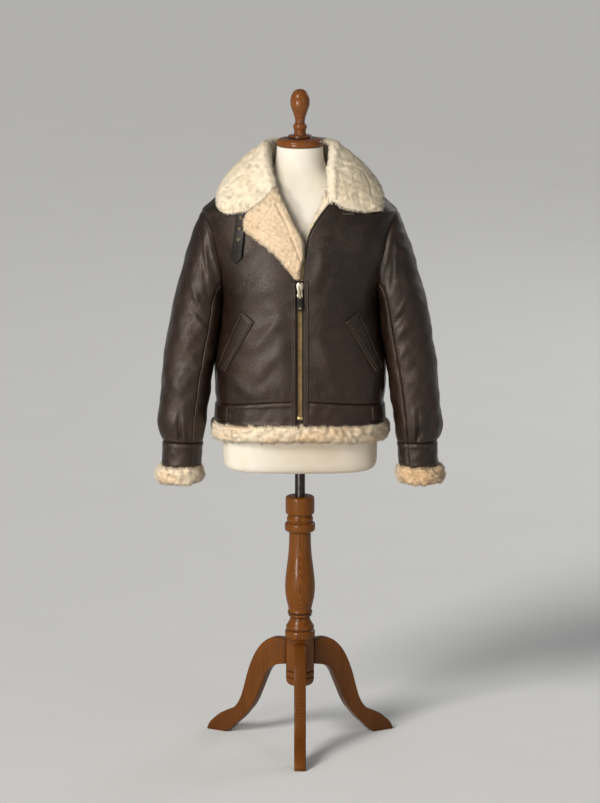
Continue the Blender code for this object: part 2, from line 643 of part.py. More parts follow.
def row_heights(angles):
    """Heights of a panel's rows at these angles: waist to underarm, armhole, shoulder to neck."""
    low = band_top(angles[: len(LOWER_ROWS) - 1]) + GAP / 2
    low = low + (UNDERARM - low) * LOWER_ROWS[:-1, None]
    middle = np.repeat(ARMHOLE_HEIGHTS[:, None], angles.shape[1], axis=1)
    top = angles[-len(UPPER_ROWS):]
    from_front = np.pi - np.abs(np.pi - np.abs(top))
    behind = np.clip((from_front - math.radians(100)) / math.radians(80), 0, 1)
    neck = NECK_SIDE + (NECK_BACK - NECK_SIDE) * behind * behind * (3 - 2 * behind)
    return np.concatenate([low, middle, SHOULDER + (neck - SHOULDER) * UPPER_ROWS[:, None]])


def plain_heights():
    """The rows' heights at the sides, for looking up the edges."""
    low = BAND_TOP_FRONT + (UNDERARM - BAND_TOP_FRONT) * LOWER_ROWS[:-1]
    return np.concatenate([low, ARMHOLE_HEIGHTS, SHOULDER + (NECK_SIDE - SHOULDER) * UPPER_ROWS])


def front_edge(side, heights):
    """The angle of a front's open edge: beside the zip, up the roll or open edge, then along the neck seam."""
    x = np.where(heights < CLOSED_TOP, ZIP_HALF, edge_at[side](heights))
    return np.where(heights < 1.395, angle_at(x, heights), neck_angle_at(heights))


def build_body(mitre):
    heights = plain_heights()
    first = len(LOWER_ROWS) - 1
    half = ARMHOLE_STEPS
    front_seam = Mitre(*(part[: half + 1][::-1] for part in mitre))
    back_rows = np.concatenate([[half], np.arange(half + 1, RING_POINTS), [0]])
    back_seam = Mitre(*(part[back_rows] for part in mitre))
    ends = np.full(len(heights), QUARTER)
    ends[first:first + half + 1] = LOOP_ANGLES[: half + 1][::-1]
    ends[first + half + 1:] = seam_angle(heights[first + half + 1:])
    panel("front_left", front_edge("left", heights), ends, row_heights, FRONT_COLUMNS, end_mitre=front_seam)
    panel(
        "front_right", front_edge("right", heights), ends, row_heights, FRONT_COLUMNS, end_mitre=front_seam,
        mirrored=True,
    )
    starts = ends.copy()
    starts[first:first + half + 1] = LOOP_ANGLES[back_rows]
    far = Mitre(*(part * np.array([-1, 1, 1]) for part in back_seam))
    panel("back", starts, 2 * np.pi - starts, row_heights, BACK_COLUMNS, back_seam, far)


def build_waist():
    pieces = {
        "waistband_left": (angle_at(ZIP_HALF, 0.85), QUARTER, 8),
        "waistband_back": (QUARTER, 3 * QUARTER, 16),
        "waistband_right": (3 * QUARTER, 4 * QUARTER - angle_at(ZIP_HALF, 0.85), 8),
    }
    for name, (start, end, columns) in pieces.items():
        near = GAP / 2 / 0.2
        angles = np.linspace(start + near, end - near, columns + 1)
        low, high = band_end(angles), band_top(angles) - GAP / 2
        levels = low + (high - low) * np.array([0, 0.5, 1])[:, None]
        angles = np.broadcast_to(angles, levels.shape)
        shell(name, body_point(angles, levels), body_point(angles, levels, -WALL), LEATHER_BROWN)

    share = np.array([0.0, 0.13, 0.5, 0.85, 1.0])
    out = np.array([0.004, 0.009, 0.0115, 0.009, 0.002])
    inside = np.array([-0.0085, -0.0115, -0.0125, -0.0115, -0.006])
    for name, start in (("hem_fur_left", 0.0), ("hem_fur_right", np.pi)):
        angles = np.linspace(start + 0.0012, start + np.pi - 0.0012, 19)
        top = band_end(angles) - GAP
        levels = top - FUR_HEIGHT * share[:, None]
        angles = np.broadcast_to(angles, levels.shape)
        shell(name, body_point(angles, levels, out[:, None]), body_point(angles, levels, inside[:, None]), WOOL)


def build_sleeves(rings, mitre):
    normals = sleeve_normals(rings)
    inner = rings - normals * WALL
    outer = rings.copy()
    outer[0], inner[0] = mitre.seam + mitre.across * GAP * 0.8, mitre.inner + mitre.across * GAP * 0.8
    inner[1] = (inner[0] + 2 * inner[1] + inner[2]) / 4
    seams = {"upper": (16, 8 + RING_POINTS), "under": (8, 16)}
    for side, mirror in (("left", 1), ("right", -1)):
        flip = np.array([mirror, 1, 1])
        for half, (start, end) in seams.items():
            columns = np.arange(start, end + 1) % RING_POINTS
            sheets = []
            for sheet in (outer, inner):
                part = sheet[:, columns].copy()
                part[:, 0] += unit(part[:, 1] - part[:, 0]) * GAP / 2
                part[:, -1] += unit(part[:, -2] - part[:, -1]) * GAP / 2
                sheets.append(part * flip)
            shell(f"sleeve_{half}_{side}", *sheets, LEATHER_BROWN)


def band_rings(rows, inside):
    square = 2.3
    cosine, sine = np.cos(RING_TURN), np.sin(RING_TURN)
    grow = (np.abs(cosine) ** square + np.abs(sine) ** square) ** (-1 / square)
    rings = []
    for row in rows:
        middle, reach = (row.outer_x + row.inner_x) / 2, (row.outer_x - row.inner_x) / 2 - inside
        depth = row.half_depth - inside
        tilt = 0.0015 * cosine * (row.height > 0.765)
        x, y = middle + reach * grow * cosine, CUFF_MIDDLE_Y - depth * grow * sine
        rings.append(np.stack([x, y, row.height + tilt], axis=-1))
    return np.array(rings)


def build_cuffs(rings):
    for side, mirror in (("left", 1), ("right", -1)):
        flip = np.array([mirror, 1, 1])
        outer, inner = band_rings(CUFF, 0), band_rings(CUFF, CUFF_WALL)
        outer[0] = rings[-1] - np.array([0, 0, GAP])
        inner[0, :, 2] = outer[0, :, 2]
        shell(f"cuff_{side}", outer * flip, inner * flip, LEATHER_BROWN, around=True)
        hollow = [row._replace(outer_x=CUFF_FUR[2].outer_x, inner_x=CUFF_FUR[2].inner_x,
                               half_depth=CUFF_FUR[2].half_depth) for row in CUFF_FUR]
        fur, hole = band_rings(CUFF_FUR, 0), band_rings(hollow, CUFF_FUR_INSIDE)
        shell(f"cuff_fur_{side}", fur * flip, hole * flip, WOOL, around=True)


# ---- what lies on the coat -----------------------------------------------------------------------------
def cloth_faces(names):
    """The faces of these pieces, to lay others on."""
    points, faces = [], []
    for name in names:
        mesh = bpy.data.objects[name].data
        start = len(points)
        points += [vertex.co.copy() for vertex in mesh.vertices]
        faces += [[start + i for i in face.vertices] for face in mesh.polygons]
    return BVHTree.FromPolygons(points, faces)


def seat_weights():
    """Shares of a face's four corners, all over it and along both of its diagonals."""
    steps = np.linspace(0, 1, SAMPLES + 1)
    weights = [((1 - u) * (1 - v), (1 - u) * v, u * (1 - v), u * v) for u in steps for v in steps]
    weights += [(1 - u, 0, 0, u) for u in steps] + [(0, 1 - u, u, 0) for u in steps]
    return np.array(weights)


def lifted(cloth, outer, inner, last=None):
    """Both faces of a laid piece, each point moved out until the inner face clears the cloth by the gap."""
    inner_part = inner[:, :last]
    rows, columns = inner_part.shape[:2]
    need = np.zeros((rows, columns))
    for row, column in np.ndindex(rows - 1, columns - 1):
        corners = inner_part[row:row + 2, column:column + 2].reshape(4, 3)
        short = 0.0
        for weights in seat_weights():
            point = weights @ corners
            normal = body_normal(math.atan2(point[0], -point[1]), min(point[2], NECK_SIDE))
            hit = cloth.ray_cast(Vector(point + normal * 0.05), Vector(-normal), 0.08)[0]
            if hit is not None:
                short = max(short, SEAT - float((point - np.array(hit)) @ normal))
        need[row:row + 2, column:column + 2] = np.maximum(need[row:row + 2, column:column + 2], short)
    angles = np.arctan2(inner_part[..., 0], -inner_part[..., 1])
    move = body_normal(angles, np.minimum(inner_part[..., 2], NECK_SIDE)) * need[..., None]
    outer, inner = outer.copy(), inner.copy()
    outer[:, :last] += move
    inner[:, :last] += move
    return outer, inner


# ---- collar, lapel and front edge ----------------------------------------------------------------------
def keep_clear(points, least):
    """Moves points out until they are at least this far outside the coat's body."""
    angle = np.arctan2(points[..., 0], -points[..., 1])
    height = np.minimum(points[..., 2], NECK_SIDE - 0.002)
    surface, normal = body_point(angle, height), body_normal(angle, height)
    level = np.stack([points[..., 0], points[..., 1], height], axis=-1)
    outside = np.sum((level - surface) * normal, axis=-1)
    low = points[..., 2] < NECK_SIDE - 0.002
    return points + normal * (np.clip(least - outside, 0, None) * low)[..., None]


def collar_half(side):
    """The collar's leather side from the middle of the back to one front end, one row per station."""
    stations = COLLAR + COLLAR_ENDS[side]
    share = np.linspace(0, 1, len(stations))
    steps = np.linspace(0, 1, COLLAR_HALF_STATIONS + 1)
    path = {}
    for name in Station._fields:
        path[name] = curve_through(share, [getattr(row, name) for row in stations])(steps)
    rows = []
    for i in range(len(steps)):
        at = {name: values[i] for name, values in path.items()}
        seam = body_point(math.radians(at["angle"]), min(at["seam_z"], NECK_BACK), 0.0)
        seam[2] = at["seam_z"] + 0.0012
        top, fall, edge = [
            np.array([at[f"{part}_{axis}"] for axis in "xyz"]) for part in ("top", "fall", "edge")
        ]
        outward = unit((fall - top) * np.array([1, 1, 0]))
        rise = np.array([0, 0, 1.0])
        row = [seam, seam * 0.5 + top * 0.5, top]
        row += [top + outward * across + rise * up for across, up in ROLL_TURN]
        start = top + outward * 0.009
        for t in np.linspace(0.04, 1, 7):
            row.append(start * (1 - t) ** 2 + fall * 2 * t * (1 - t) + edge * t * t)
        rows.append(row)
    half = np.array(rows)
    half[:, 6:] = keep_clear(half[:, 6:], COLLAR_CLEAR)
    return half


def collar_spine():
    right = collar_half("right")[1:][::-1] * np.array([-1, 1, 1])
    return np.concatenate([right, collar_half("left")])


def build_collar():
    spine = collar_spine()
    normals = grid_normals(spine)
    side = spine[len(spine) // 2, -3] - spine[len(spine) // 2, 0]
    if normals[len(spine) // 2, -3] @ side < 0:
        normals = -normals
    for _ in range(2):
        inside = normals.copy()
        inside[:, 1:-1] = (normals[:, :-2] + 2 * normals[:, 1:-1] + normals[:, 2:]) / 4
        normals = unit(inside)
    across = np.array([0.90, 1, 1, 1, 1, 1, 1, 1, 1, 1, 1, 0.93, 0.55])
    ends = np.ones(len(spine))
    ends[[0, -1]], ends[[1, -2]] = 0.60, 0.95
    thick = TURNED_WALL * ends[:, None] * across[None]
    shell("collar", spine + normals * thick[..., None], spine, WOOL)


def build_lapel(cloth):
    towards = np.array(ROLL_DIRECTION)
    top, under = [], []
    for row in LAPEL:
        roll, edge = np.array([row.roll_x, row.roll_z]), np.array([row.edge_x, row.edge_z])
        size = min(1.0, 0.45 + np.linalg.norm(edge - roll) / 0.05)
        for sheet, share, past, out in (
            (top, "share", "past", "top"), (under, "under_share", "under_past", "under")
        ):
            line = []
            for step in LAPEL_ACROSS:
                place = roll + (edge - roll) * getattr(step, share) + towards * getattr(step, past)
                lift = getattr(step, out)
                lift = lift * size if sheet is top and lift > 0 else lift
                line.append(front_point(place[0], place[1], lift))
            sheet.append(line)
    shell("lapel_right", *lifted(cloth, np.array(top), np.array(under), 5), WOOL)


def build_facing():
    heights = np.array([row.height for row in FACING])
    reach = np.array([row.reach for row in FACING])
    edge = edge_at["left"](heights)
    front, behind = [], []
    for share, out, back in (
        (0.0, -0.0048, -0.0125), (0.35, -0.0040, -0.0140), (0.75, -0.0060, -0.0155), (1.0, -0.0090, -0.0145)
    ):
        x = edge - 0.0006 - reach * share
        front.append(front_point(x, heights, out))
        behind.append(front_point(x, heights, back))
    outer, inner = (np.array(sheet).transpose(1, 0, 2) for sheet in (front, behind))
    shell("facing_left", outer, inner, WOOL)


# ---- what lies on the coat -----------------------------------------------------------------------------
def strip(name, left, right, out, inside, look, cloth=None):
    """A strip on the front between two lines of (x, z), its faces this far out of the coat's form."""
    left, right = np.array(left), np.array(right)
    share = np.array([0, 0.08, 0.92, 1])[:, None, None]
    line = left + (right - left) * share
    lift = np.where(np.array([0, 1, 1, 0])[:, None] > 0, out, out - (out - inside) * 0.35)
    outer = front_point(line[..., 0], line[..., 1], lift)
    inner = front_point(line[..., 0], line[..., 1], inside)
    outer, inner = outer.transpose(1, 0, 2), inner.transpose(1, 0, 2)
    if cloth:
        outer, inner = lifted(cloth, outer, inner)
    return shell(name, outer, inner, look)


def build_front_trim(cloth):
    heights = np.linspace(0.8435, 1.1715, 9)
    strip(
        "zip_chain", [(-0.0076, z) for z in heights], [(0.0076, z) for z in heights], -0.0005, -0.0050, BRASS
    )
    heights = np.concatenate([[0.8280], np.linspace(0.8880, 1.1150, 6), [1.1482, 1.1830]])
    for side, mirror in (("right", -1), ("left", 1)):
        left, right = sorted((mirror * 0.0105, mirror * 0.0205))
        strip(
            f"placket_{side}", [(left, z) for z in heights], [(right, z) for z in heights], GAP + 0.0018, GAP,
            LEATHER_BROWN, cloth,
        )
    rows = plain_heights()
    heights = np.concatenate([[1.1860], rows[(rows > 1.19) & (rows < 1.367)]])
    edge = edge_at["left"](heights)
    lines = [[(x - back, z) for x, z in zip(edge, heights)] for back in (0.0042, 0.0007)]
    strip("zip_edge_left", *lines, 0.0006, -0.0038, BRASS)
    corners = {"top": ((-0.141, 1.1051), (-0.109, 1.0817)), "end": ((-0.1975, 0.9601), (-0.1800, 0.9509))}
    for side, mirror in (("right", 1), ("left", -1)):
        share = np.linspace(0, 1, 7)[:, None]
        lines = []
        for edge in (0, 1):
            top, end = np.array(corners["top"][edge]), np.array(corners["end"][edge])
            lines.append((top + (end - top) * share) * np.array([mirror, 1]))
        if mirror < 0:
            lines.reverse()
        strip(f"pocket_welt_{side}", lines[0], lines[1], GAP + 0.0024, GAP, LEATHER_BROWN, cloth)


def build_throat_strap(cloth):
    middle = np.array([
        (-0.1395, 1.3500), (-0.1405, 1.3320), (-0.1430, 1.3080), (-0.1450, 1.2800), (-0.1465, 1.2550),
        (-0.1472, 1.2360), (-0.1475, 1.2225),
    ])
    out = np.array([0.0006, 0.0006, 0.0007, 0.0030, 0.0055, 0.0070, 0.0078])
    half = np.array([0.0112, 0.0116, 0.0120, 0.0122, 0.0124, 0.0124, 0.0012])
    left = np.stack([middle[:, 0] - half, middle[:, 1] - 0.10 * half], axis=-1)
    right = np.stack([middle[:, 0] + half, middle[:, 1] + 0.10 * half], axis=-1)
    sheets = []
    for lift in (LEATHER, 0.0):
        sheets.append(np.stack([front_point(left[:, 0], left[:, 1], out + lift),
                                front_point(middle[:, 0], middle[:, 1], out + lift),
                                front_point(right[:, 0], right[:, 1], out + lift)], axis=1))
    shell("throat_strap", *lifted(cloth, *sheets), LEATHER_BLACK)


def build_waist_tabs(cloth):
    for side, start, end in (("left", 64, 118), ("right", 242, 296)):
        angles = np.radians(np.linspace(start, end, 9))
        levels = band_top(angles) - np.array([0.0395, 0.0370, 0.0080, 0.0055])[:, None]
        angles = np.broadcast_to(angles, levels.shape)
        lift = np.array([0.0016, LEATHER, LEATHER, 0.0016])[:, None] + GAP
        outer, inner = body_point(angles, levels, lift), body_point(angles, levels, GAP)
        shell(f"waist_tab_{side}", *lifted(cloth, outer, inner), LEATHER_BROWN)


def frame_ring(name, half_x, half_z, bar, middle, look):
    """A flat rectangular buckle frame, standing at `middle`, from a block with a window."""
    x, y, z = middle
    thing = block(name, (x - half_x, y - bar / 2, z - half_z), (x + half_x, y + bar / 2, z + half_z), look)
    low, high = (x - half_x + bar, y - bar, z - half_z + bar), (x + half_x - bar, y + bar, z + half_z - bar)
    window = block(f"{name}_window", low, high, look, "cutters")
    modifier(thing, "BEVEL", width=0.0006, segments=1)
    combine(thing, window, "DIFFERENCE")
    return thing


def build_zip_pull():
    """The slider is a plate with two lugs and a cross pin, and the leather pull hangs on that pin."""
    face = float(front_point(0.0, 1.1600)[1])
    y = face - 0.0004
    slider = block("zip_slider", (-0.0078, y - 0.0032, 1.1450), (0.0078, y, 1.1810), BRASS)
    modifier(slider, "BEVEL", width=0.0012, segments=1)
    pin_y, pin_z = y - 0.0090, 1.1490
    for name, x in (("lug_a", -0.0046), ("lug_b", 0.0046)):
        low, high = (x - 0.0012, pin_y - 0.0018, pin_z - 0.0022), (x + 0.0012, y - 0.0020, pin_z + 0.0160)
        lug = block(name, low, high, BRASS, "cutters")
        combine(slider, lug, "UNION")
    pin = cylinder("pin", 0.0012, -0.0040, 0.0040, 10, BRASS, "cutters")
    pin.rotation_euler = (0, QUARTER, 0)
    pin.location = (0, AXIS_Y + pin_y, pin_z)
    combine(slider, pin, "UNION")
    back, front = pin_y + 0.0013, pin_y - 0.0013
    tab = block("pull_tab", (-0.0064, front, 1.1125), (0.0064, back, 1.1445), LEATHER_BLACK)
    neck = block("pull_neck", (-0.0030, front, 1.1430), (0.0030, back, 1.1535), BRASS, "cutters")
    modifier(tab, "BEVEL", width=0.0010, segments=1)
    combine(tab, neck, "UNION")
    eye = cylinder("pull_eye", 0.0017, -0.0060, 0.0060, 10, BRASS, "cutters")
    eye.rotation_euler = (0, QUARTER, 0)
    eye.location = (0, AXIS_Y + pin_y, pin_z)
    loop = cylinder("pull_loop", 0.0033, -0.0030, 0.0030, 12, BRASS, "cutters")
    loop.rotation_euler = (0, QUARTER, 0)
    loop.location = (0, AXIS_Y + pin_y, pin_z)
    combine(tab, loop, "UNION")
    combine(tab, eye, "DIFFERENCE")
    drop = cylinder("pull_drop", 0.0021, -0.0050, 0.0050, 10, BRASS, "cutters")
    drop.rotation_euler = (QUARTER, 0, 0)
    drop.location = (0, AXIS_Y + pin_y, 1.1195)
    combine(tab, drop, "DIFFERENCE")


# ---- form and stand ------------------------------------------------------------------------------------
def build_form():
    around, heights = 24, np.array([row.height for row in FORM])
    angles = np.linspace(0, 2 * np.pi, around, endpoint=False)
    rings = ring_point(form_at, angles[None], heights[:, None])
    points = rings.reshape(-1, 3)
    faces = []
    for row in range(len(heights) - 1):
        for i in range(around):
            a, b = row * around + i, row * around + (i + 1) % around
            faces.append((a, b, b + around, a + around))
    faces.append(tuple(range(around))[::-1])
    faces.append(tuple(range(len(points) - around, len(points))))
    form = mesh_object("form_torso", points, faces, IVORY)
    socket = cylinder("socket", BORE_RADIUS, 0.690, SOCKET_END, 16, IVORY, "cutters")
    combine(form, socket, "DIFFERENCE")
    turned("neck_cap", CAP_PROFILE, 24, WOOD_RED)
    turned("finial", FINIAL_PROFILE, 16, WOOD_RED)


def build_stand():
    cylinder("pole", POLE_RADIUS, POLE_FOOT, POLE_HEAD, 16, STEEL)
    column = turned("column", COLUMN_PROFILE, 20, WOOD)
    for leg, turn in enumerate((0, 2 * np.pi / 3, -2 * np.pi / 3)):
        direction = np.array([math.sin(turn), -math.cos(turn)])
        rim = [(radius * direction[0], radius * direction[1], z) for radius, z in LEG_UPPER + LEG_LOWER]
        thing = mesh_object(f"leg_{'front left right'.split()[leg]}", rim, [tuple(range(len(rim)))], WOOD)
        modifier(thing, "SOLIDIFY", thickness=LEG_THICK, offset=0)
        modifier(thing, "BEVEL", width=0.0026, segments=1, limit_method="ANGLE", angle_limit=math.radians(60))
        flat = block(f"hub_flat_{leg}", (-0.02, -0.05, 0.190), (0.02, -HUB_FLAT, 0.2670), WOOD, "cutters")
        flat.rotation_euler = (0, 0, turn)
        combine(column, flat, "DIFFERENCE")


def build():
    clear_scene()
    new_collection("coat_on_form")
    new_collection("cutters", shown=False)
    build_form()
    build_stand()
    rings = sleeve_outside()
    mitre = armhole_mitre(rings)
    build_body(mitre)
    build_waist()
    build_sleeves(rings, mitre)
    build_cuffs(rings)
    build_collar()
    under = ["front_left", "front_right", "back", "waistband_left", "waistband_right", "waistband_back"]
    cloth = cloth_faces(under)
    build_lapel(cloth)
    build_facing()
    build_front_trim(cloth)
    build_throat_strap(cloth)
    build_waist_tabs(cloth)
    build_zip_pull()
    x, z = BUCKLE_PLACE
    y = float(front_point(x - 0.0130, z - 0.0050)[1]) - 0.0013
    frame_ring("throat_buckle", 0.0130, 0.0050, 0.0018, (x, y, z), BRASS)


build()
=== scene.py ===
import math

import bpy
import numpy as np
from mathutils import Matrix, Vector


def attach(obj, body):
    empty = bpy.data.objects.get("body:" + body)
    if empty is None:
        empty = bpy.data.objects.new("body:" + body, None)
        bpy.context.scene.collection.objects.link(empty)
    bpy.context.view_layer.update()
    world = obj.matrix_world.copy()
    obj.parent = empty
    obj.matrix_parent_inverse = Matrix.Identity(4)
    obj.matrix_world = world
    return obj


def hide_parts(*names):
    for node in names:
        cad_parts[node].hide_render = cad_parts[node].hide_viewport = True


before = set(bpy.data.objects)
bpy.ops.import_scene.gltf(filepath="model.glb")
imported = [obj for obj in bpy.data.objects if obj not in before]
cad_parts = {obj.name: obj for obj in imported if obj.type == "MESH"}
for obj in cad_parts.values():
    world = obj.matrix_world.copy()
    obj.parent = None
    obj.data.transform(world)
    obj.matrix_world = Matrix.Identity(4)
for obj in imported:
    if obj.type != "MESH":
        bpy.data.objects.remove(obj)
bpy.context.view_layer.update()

# Shearling coat on a dress form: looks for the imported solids, in their own frame (metres, front towards -Y).
axisY = 0.0573           # the pole stands this far behind the middle of the floor area
quarter = math.pi / 2
third = 2 * math.pi / 3
flips = {"left": np.array([1, 1, 1]), "right": np.array([-1, 1, 1])}     # turns a left piece into a right one
print("frame loaded:", len(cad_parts), "nodes")


def letGo():
    if bpy.context.object and bpy.context.object.mode != "OBJECT":
        bpy.ops.object.mode_set(mode="OBJECT")
    bpy.ops.object.select_all(action="DESELECT")


def hold(*things):
    letGo()
    for thing in things:
        thing.select_set(True)
    bpy.context.view_layer.objects.active = things[-1]


def applyAll(thing):
    hold(thing)
    for entry in list(thing.modifiers):
        bpy.ops.object.modifier_apply(modifier=entry.name)


def addModifier(thing, kind, **settings):
    entry = thing.modifiers.new(kind.title(), kind)
    for name, value in settings.items():
        setattr(entry, name, value)
    return entry


def unit(vectors):
    return vectors / np.maximum(np.linalg.norm(vectors, axis=-1, keepdims=True), 1e-12)


def smoothThrough(knots, values):
    # a smooth function through the values, one or a row of them at each knot, that never overshoots them
    knots, values = np.asarray(knots, float), np.asarray(values, float)
    tail = (1,) * (values.ndim - 1)
    step = np.diff(knots)
    slope = np.diff(values, axis=0) / step.reshape(-1, *tail)
    before, after = slope[:-1], slope[1:]
    same = before * after > 0
    bend = np.zeros(values.shape)
    bend[1:-1] = np.where(same, 2 * before * after / np.where(same, before + after, 1), 0)
    bend[0], bend[-1] = slope[0], slope[-1]

    def at(x):
        x = np.clip(x, knots[0], knots[-1])
        i = np.clip(np.searchsorted(knots, x, side="right") - 1, 0, len(step) - 1)
        t = ((x - knots[i]) / step[i]).reshape(np.shape(x) + tail)
        long = step[i].reshape(np.shape(x) + tail)
        rise = (3 - 2 * t) * t * t
        lean = long * t * (1 - t) * ((1 - t) * bend[i] - t * bend[i + 1])
        return values[i] * (1 - rise) + values[i + 1] * rise + lean

    return at


def finer(grid, count, axis=0, trim=(0.0, 0.0)):
    # the same sheet with this many rows (axis 0) or columns (axis 1), spread evenly, less a trim at its ends
    grid = np.swapaxes(grid, 0, axis)
    far = np.linalg.norm(np.diff(grid, axis=0), axis=-1)
    far = far.reshape(len(far), -1).mean(axis=1)
    knots = np.concatenate([[0], np.cumsum(far)])
    steps = np.linspace(trim[0], knots[-1] - trim[1], count)
    return np.swapaxes(smoothThrough(knots, grid)(steps), 0, axis)


def columnsOf(names, rows):
    # each column after the first as a smooth function of the first
    table = np.array(rows, float)
    return {name: smoothThrough(table[:, 0], table[:, i + 1]) for i, name in enumerate(names.split()[1:])}


def waves(points, size, number, count=9):
    # soft unevenness between about -1 and 1, the same at every run
    pick = np.random.default_rng(number)
    total = np.zeros(points.shape[:-1])
    for _ in range(count):
        way = unit(pick.normal(size=3)) * 2 * math.pi / (size * pick.uniform(0.7, 1.6))
        total = total + np.sin(points @ way + pick.uniform(0, 2 * math.pi))
    return total / math.sqrt(count) * 1.2


def hump(far, middle, width):
    # 1 at the middle, falling away softly on both sides of it
    return np.exp(-((far - middle) / width) ** 2)


def ridges(far, rows):
    # the sum of ridges and grooves, each with its height, its distance and its width
    return sum(height * hump(far, middle, width) for height, middle, width in rows)


def gridFaces(rows, columns, around=False, flip=False, start=0):
    spans = columns if around else columns - 1
    row, column = np.meshgrid(np.arange(rows - 1), np.arange(spans), indexing="ij")
    a = row * columns + column
    b = row * columns + (column + 1) % columns
    faces = np.stack([a, b, b + columns, a + columns], axis=-1).reshape(-1, 4) + start
    return faces[:, ::-1] if flip else faces


def meshPiece(name, points, faces, materials, smooth=True, pick=None):
    mesh = bpy.data.meshes.new(name)
    faces = [np.asarray(part, np.int32) for part in faces if len(part)]
    points = np.asarray(points, np.float32).reshape(-1, 3)
    mesh.vertices.add(len(points))
    mesh.vertices.foreach_set("co", points.ravel())
    corners = np.concatenate([part.ravel() for part in faces])
    sizes = np.concatenate([np.full(len(part), part.shape[1]) for part in faces])
    mesh.loops.add(len(corners))
    mesh.loops.foreach_set("vertex_index", corners)
    mesh.polygons.add(len(sizes))
    mesh.polygons.foreach_set("loop_start", np.concatenate([[0], np.cumsum(sizes)[:-1]]).astype(np.int32))
    mesh.polygons.foreach_set("use_smooth", np.full(len(sizes), smooth))
    for material in materials:
        mesh.materials.append(material)
    if pick is not None:
        mesh.polygons.foreach_set("material_index", np.asarray(pick, np.int32))
    mesh.update(calc_edges=True)
    mesh.validate()
    thing = bpy.data.objects.new(name, mesh)
    bpy.context.scene.collection.objects.link(thing)
    return thing


def addShare(thing, name, values):
    # a number for each point, which its material reads
    values = np.asarray(values, np.float32).ravel()
    layer = thing.data.attributes.new(name, "FLOAT", "POINT")
    layer.data.foreach_set("value", np.resize(values, len(thing.data.vertices)))


def pointsOf(thing):
    found = np.empty(len(thing.data.vertices) * 3, np.float32)
    thing.data.vertices.foreach_get("co", found)
    return found.reshape(-1, 3).astype(float)


def gridNormals(grid, around=False):
    along = (np.roll(grid, -1, axis=1) - np.roll(grid, 1, axis=1)) if around else np.gradient(grid, axis=1)
    return unit(np.cross(along, np.gradient(grid, axis=0)))


def placed(points):
    return points + np.array([0, axisY, 0])


def wallBetween(name, outer, inner, materials, around=False):
    # closed wall between two grids; its outside and rim take the first material, its inside the second
    rows, columns = outer.shape[:2]
    behind = rows * columns
    normals = gridNormals(outer, around)
    flip = np.sum(normals * (outer - inner)) < 0
    front = gridFaces(rows, columns, around, flip)
    back = gridFaces(rows, columns, around, not flip, behind)
    index = np.arange(behind).reshape(rows, columns)
    edges = []
    for line, turn in ((index[0], False), (index[-1], True)):
        line = np.append(line, line[0]) if around else line
        edges.append((line, turn))
    if not around:
        edges += [(index[:, 0], True), (index[:, -1], False)]
    rims = []
    for line, turn in edges:
        rim = np.stack([line[:-1], line[:-1] + behind, line[1:] + behind, line[1:]], axis=-1)
        rims.append(rim[:, ::-1] if turn != flip else rim)
    rims = np.concatenate(rims)
    pick = np.concatenate([np.zeros(len(front)), np.ones(len(back)), np.zeros(len(rims))])
    points = placed(np.concatenate([outer.reshape(-1, 3), inner.reshape(-1, 3)]))
    return meshPiece(name, points, [front, back, rims], materials, pick=pick)


def rideAs(thing, body, node):
    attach(thing, body)
    if node:
        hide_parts(node)
    return thing


# expressions on values add their own nodes
class Value:
    def __init__(self, kit, socket):
        self.kit = kit
        self.socket = socket

    def math(self, operation, other, swap=False):
        first, second = (other, self) if swap else (self, other)
        return self.kit.node("ShaderNodeMath", {"operation": operation}, first, second)

    def __add__(self, other):
        return self.math("ADD", other)

    def __sub__(self, other):
        return self.math("SUBTRACT", other)

    def __rsub__(self, other):
        return self.math("SUBTRACT", other, swap=True)

    def __mul__(self, other):
        return self.math("MULTIPLY", other)

    __radd__ = __add__
    __rmul__ = __mul__

    def within(self, low, high):
        # 0 below low, 1 above high, smooth between
        return self.kit.node("ShaderNodeMapRange", {"interpolation_type": "SMOOTHSTEP"}, self, low, high)


class Look:
    # one material and the few calls that fill its node tree
    def __init__(self, name, **plain):
        self.material = bpy.data.materials.new(name)
        self.material.use_nodes = True
        self.tree = self.material.node_tree
        self.shader = self.tree.nodes["Principled BSDF"]
        for socket, value in plain.items():
            self.shader.inputs[socket.replace("_", " ")].default_value = value

    def fill(self, socket, value):
        if isinstance(value, Value):
            self.tree.links.new(value.socket, socket)
        elif value is not None:
            socket.default_value = value

    def node(self, kind, settings, *values, out=0, **named):
        made = self.tree.nodes.new(kind)
        for name, value in settings.items():
            setattr(made, name, value)
        for number, value in enumerate(values):
            self.fill(made.inputs[number], value)
        for name, value in named.items():
            self.fill(made.inputs[name.replace("_", " ")], value)
        return Value(self, made.outputs[out])

    def place(self, scale=(1, 1, 1)):
        here = self.node("ShaderNodeTexCoord", {}, out="Object")
        return self.node("ShaderNodeMapping", {}, here, Scale=scale)

    def noise(self, where, scale, detail, rough):
        return self.node("ShaderNodeTexNoise", {}, Vector=where, Scale=scale, Detail=detail, Roughness=rough)

    def cells(self, where, scale, feature):
        return self.node("ShaderNodeTexVoronoi", {"feature": feature}, Vector=where, Scale=scale)

    def bands(self, where, way, scale):
        return self.node("ShaderNodeTexWave", {"wave_type": "BANDS", "bands_direction": way}, Vector=where,
                         Scale=scale, Distortion=0.6, Detail=1.0)

    def share(self, name):
        return self.node("ShaderNodeAttribute", {"attribute_name": name}, out="Fac")

    def blend(self, factor, first, second):
        made = self.tree.nodes.new("ShaderNodeMix")
        made.data_type = "RGBA"
        self.fill(made.inputs[0], factor)
        self.fill(made.inputs[6], first)
        self.fill(made.inputs[7], second)
        return Value(self, made.outputs[2])

    def bump(self, height, strength, reach, under=None):
        return self.node("ShaderNodeBump", {}, Strength=strength, Distance=reach, Height=height, Normal=under)

    def wear(self, **sockets):
        for name, value in sockets.items():
            self.tree.links.new(value.socket, self.shader.inputs[name.replace("_", " ")])
        return self.material


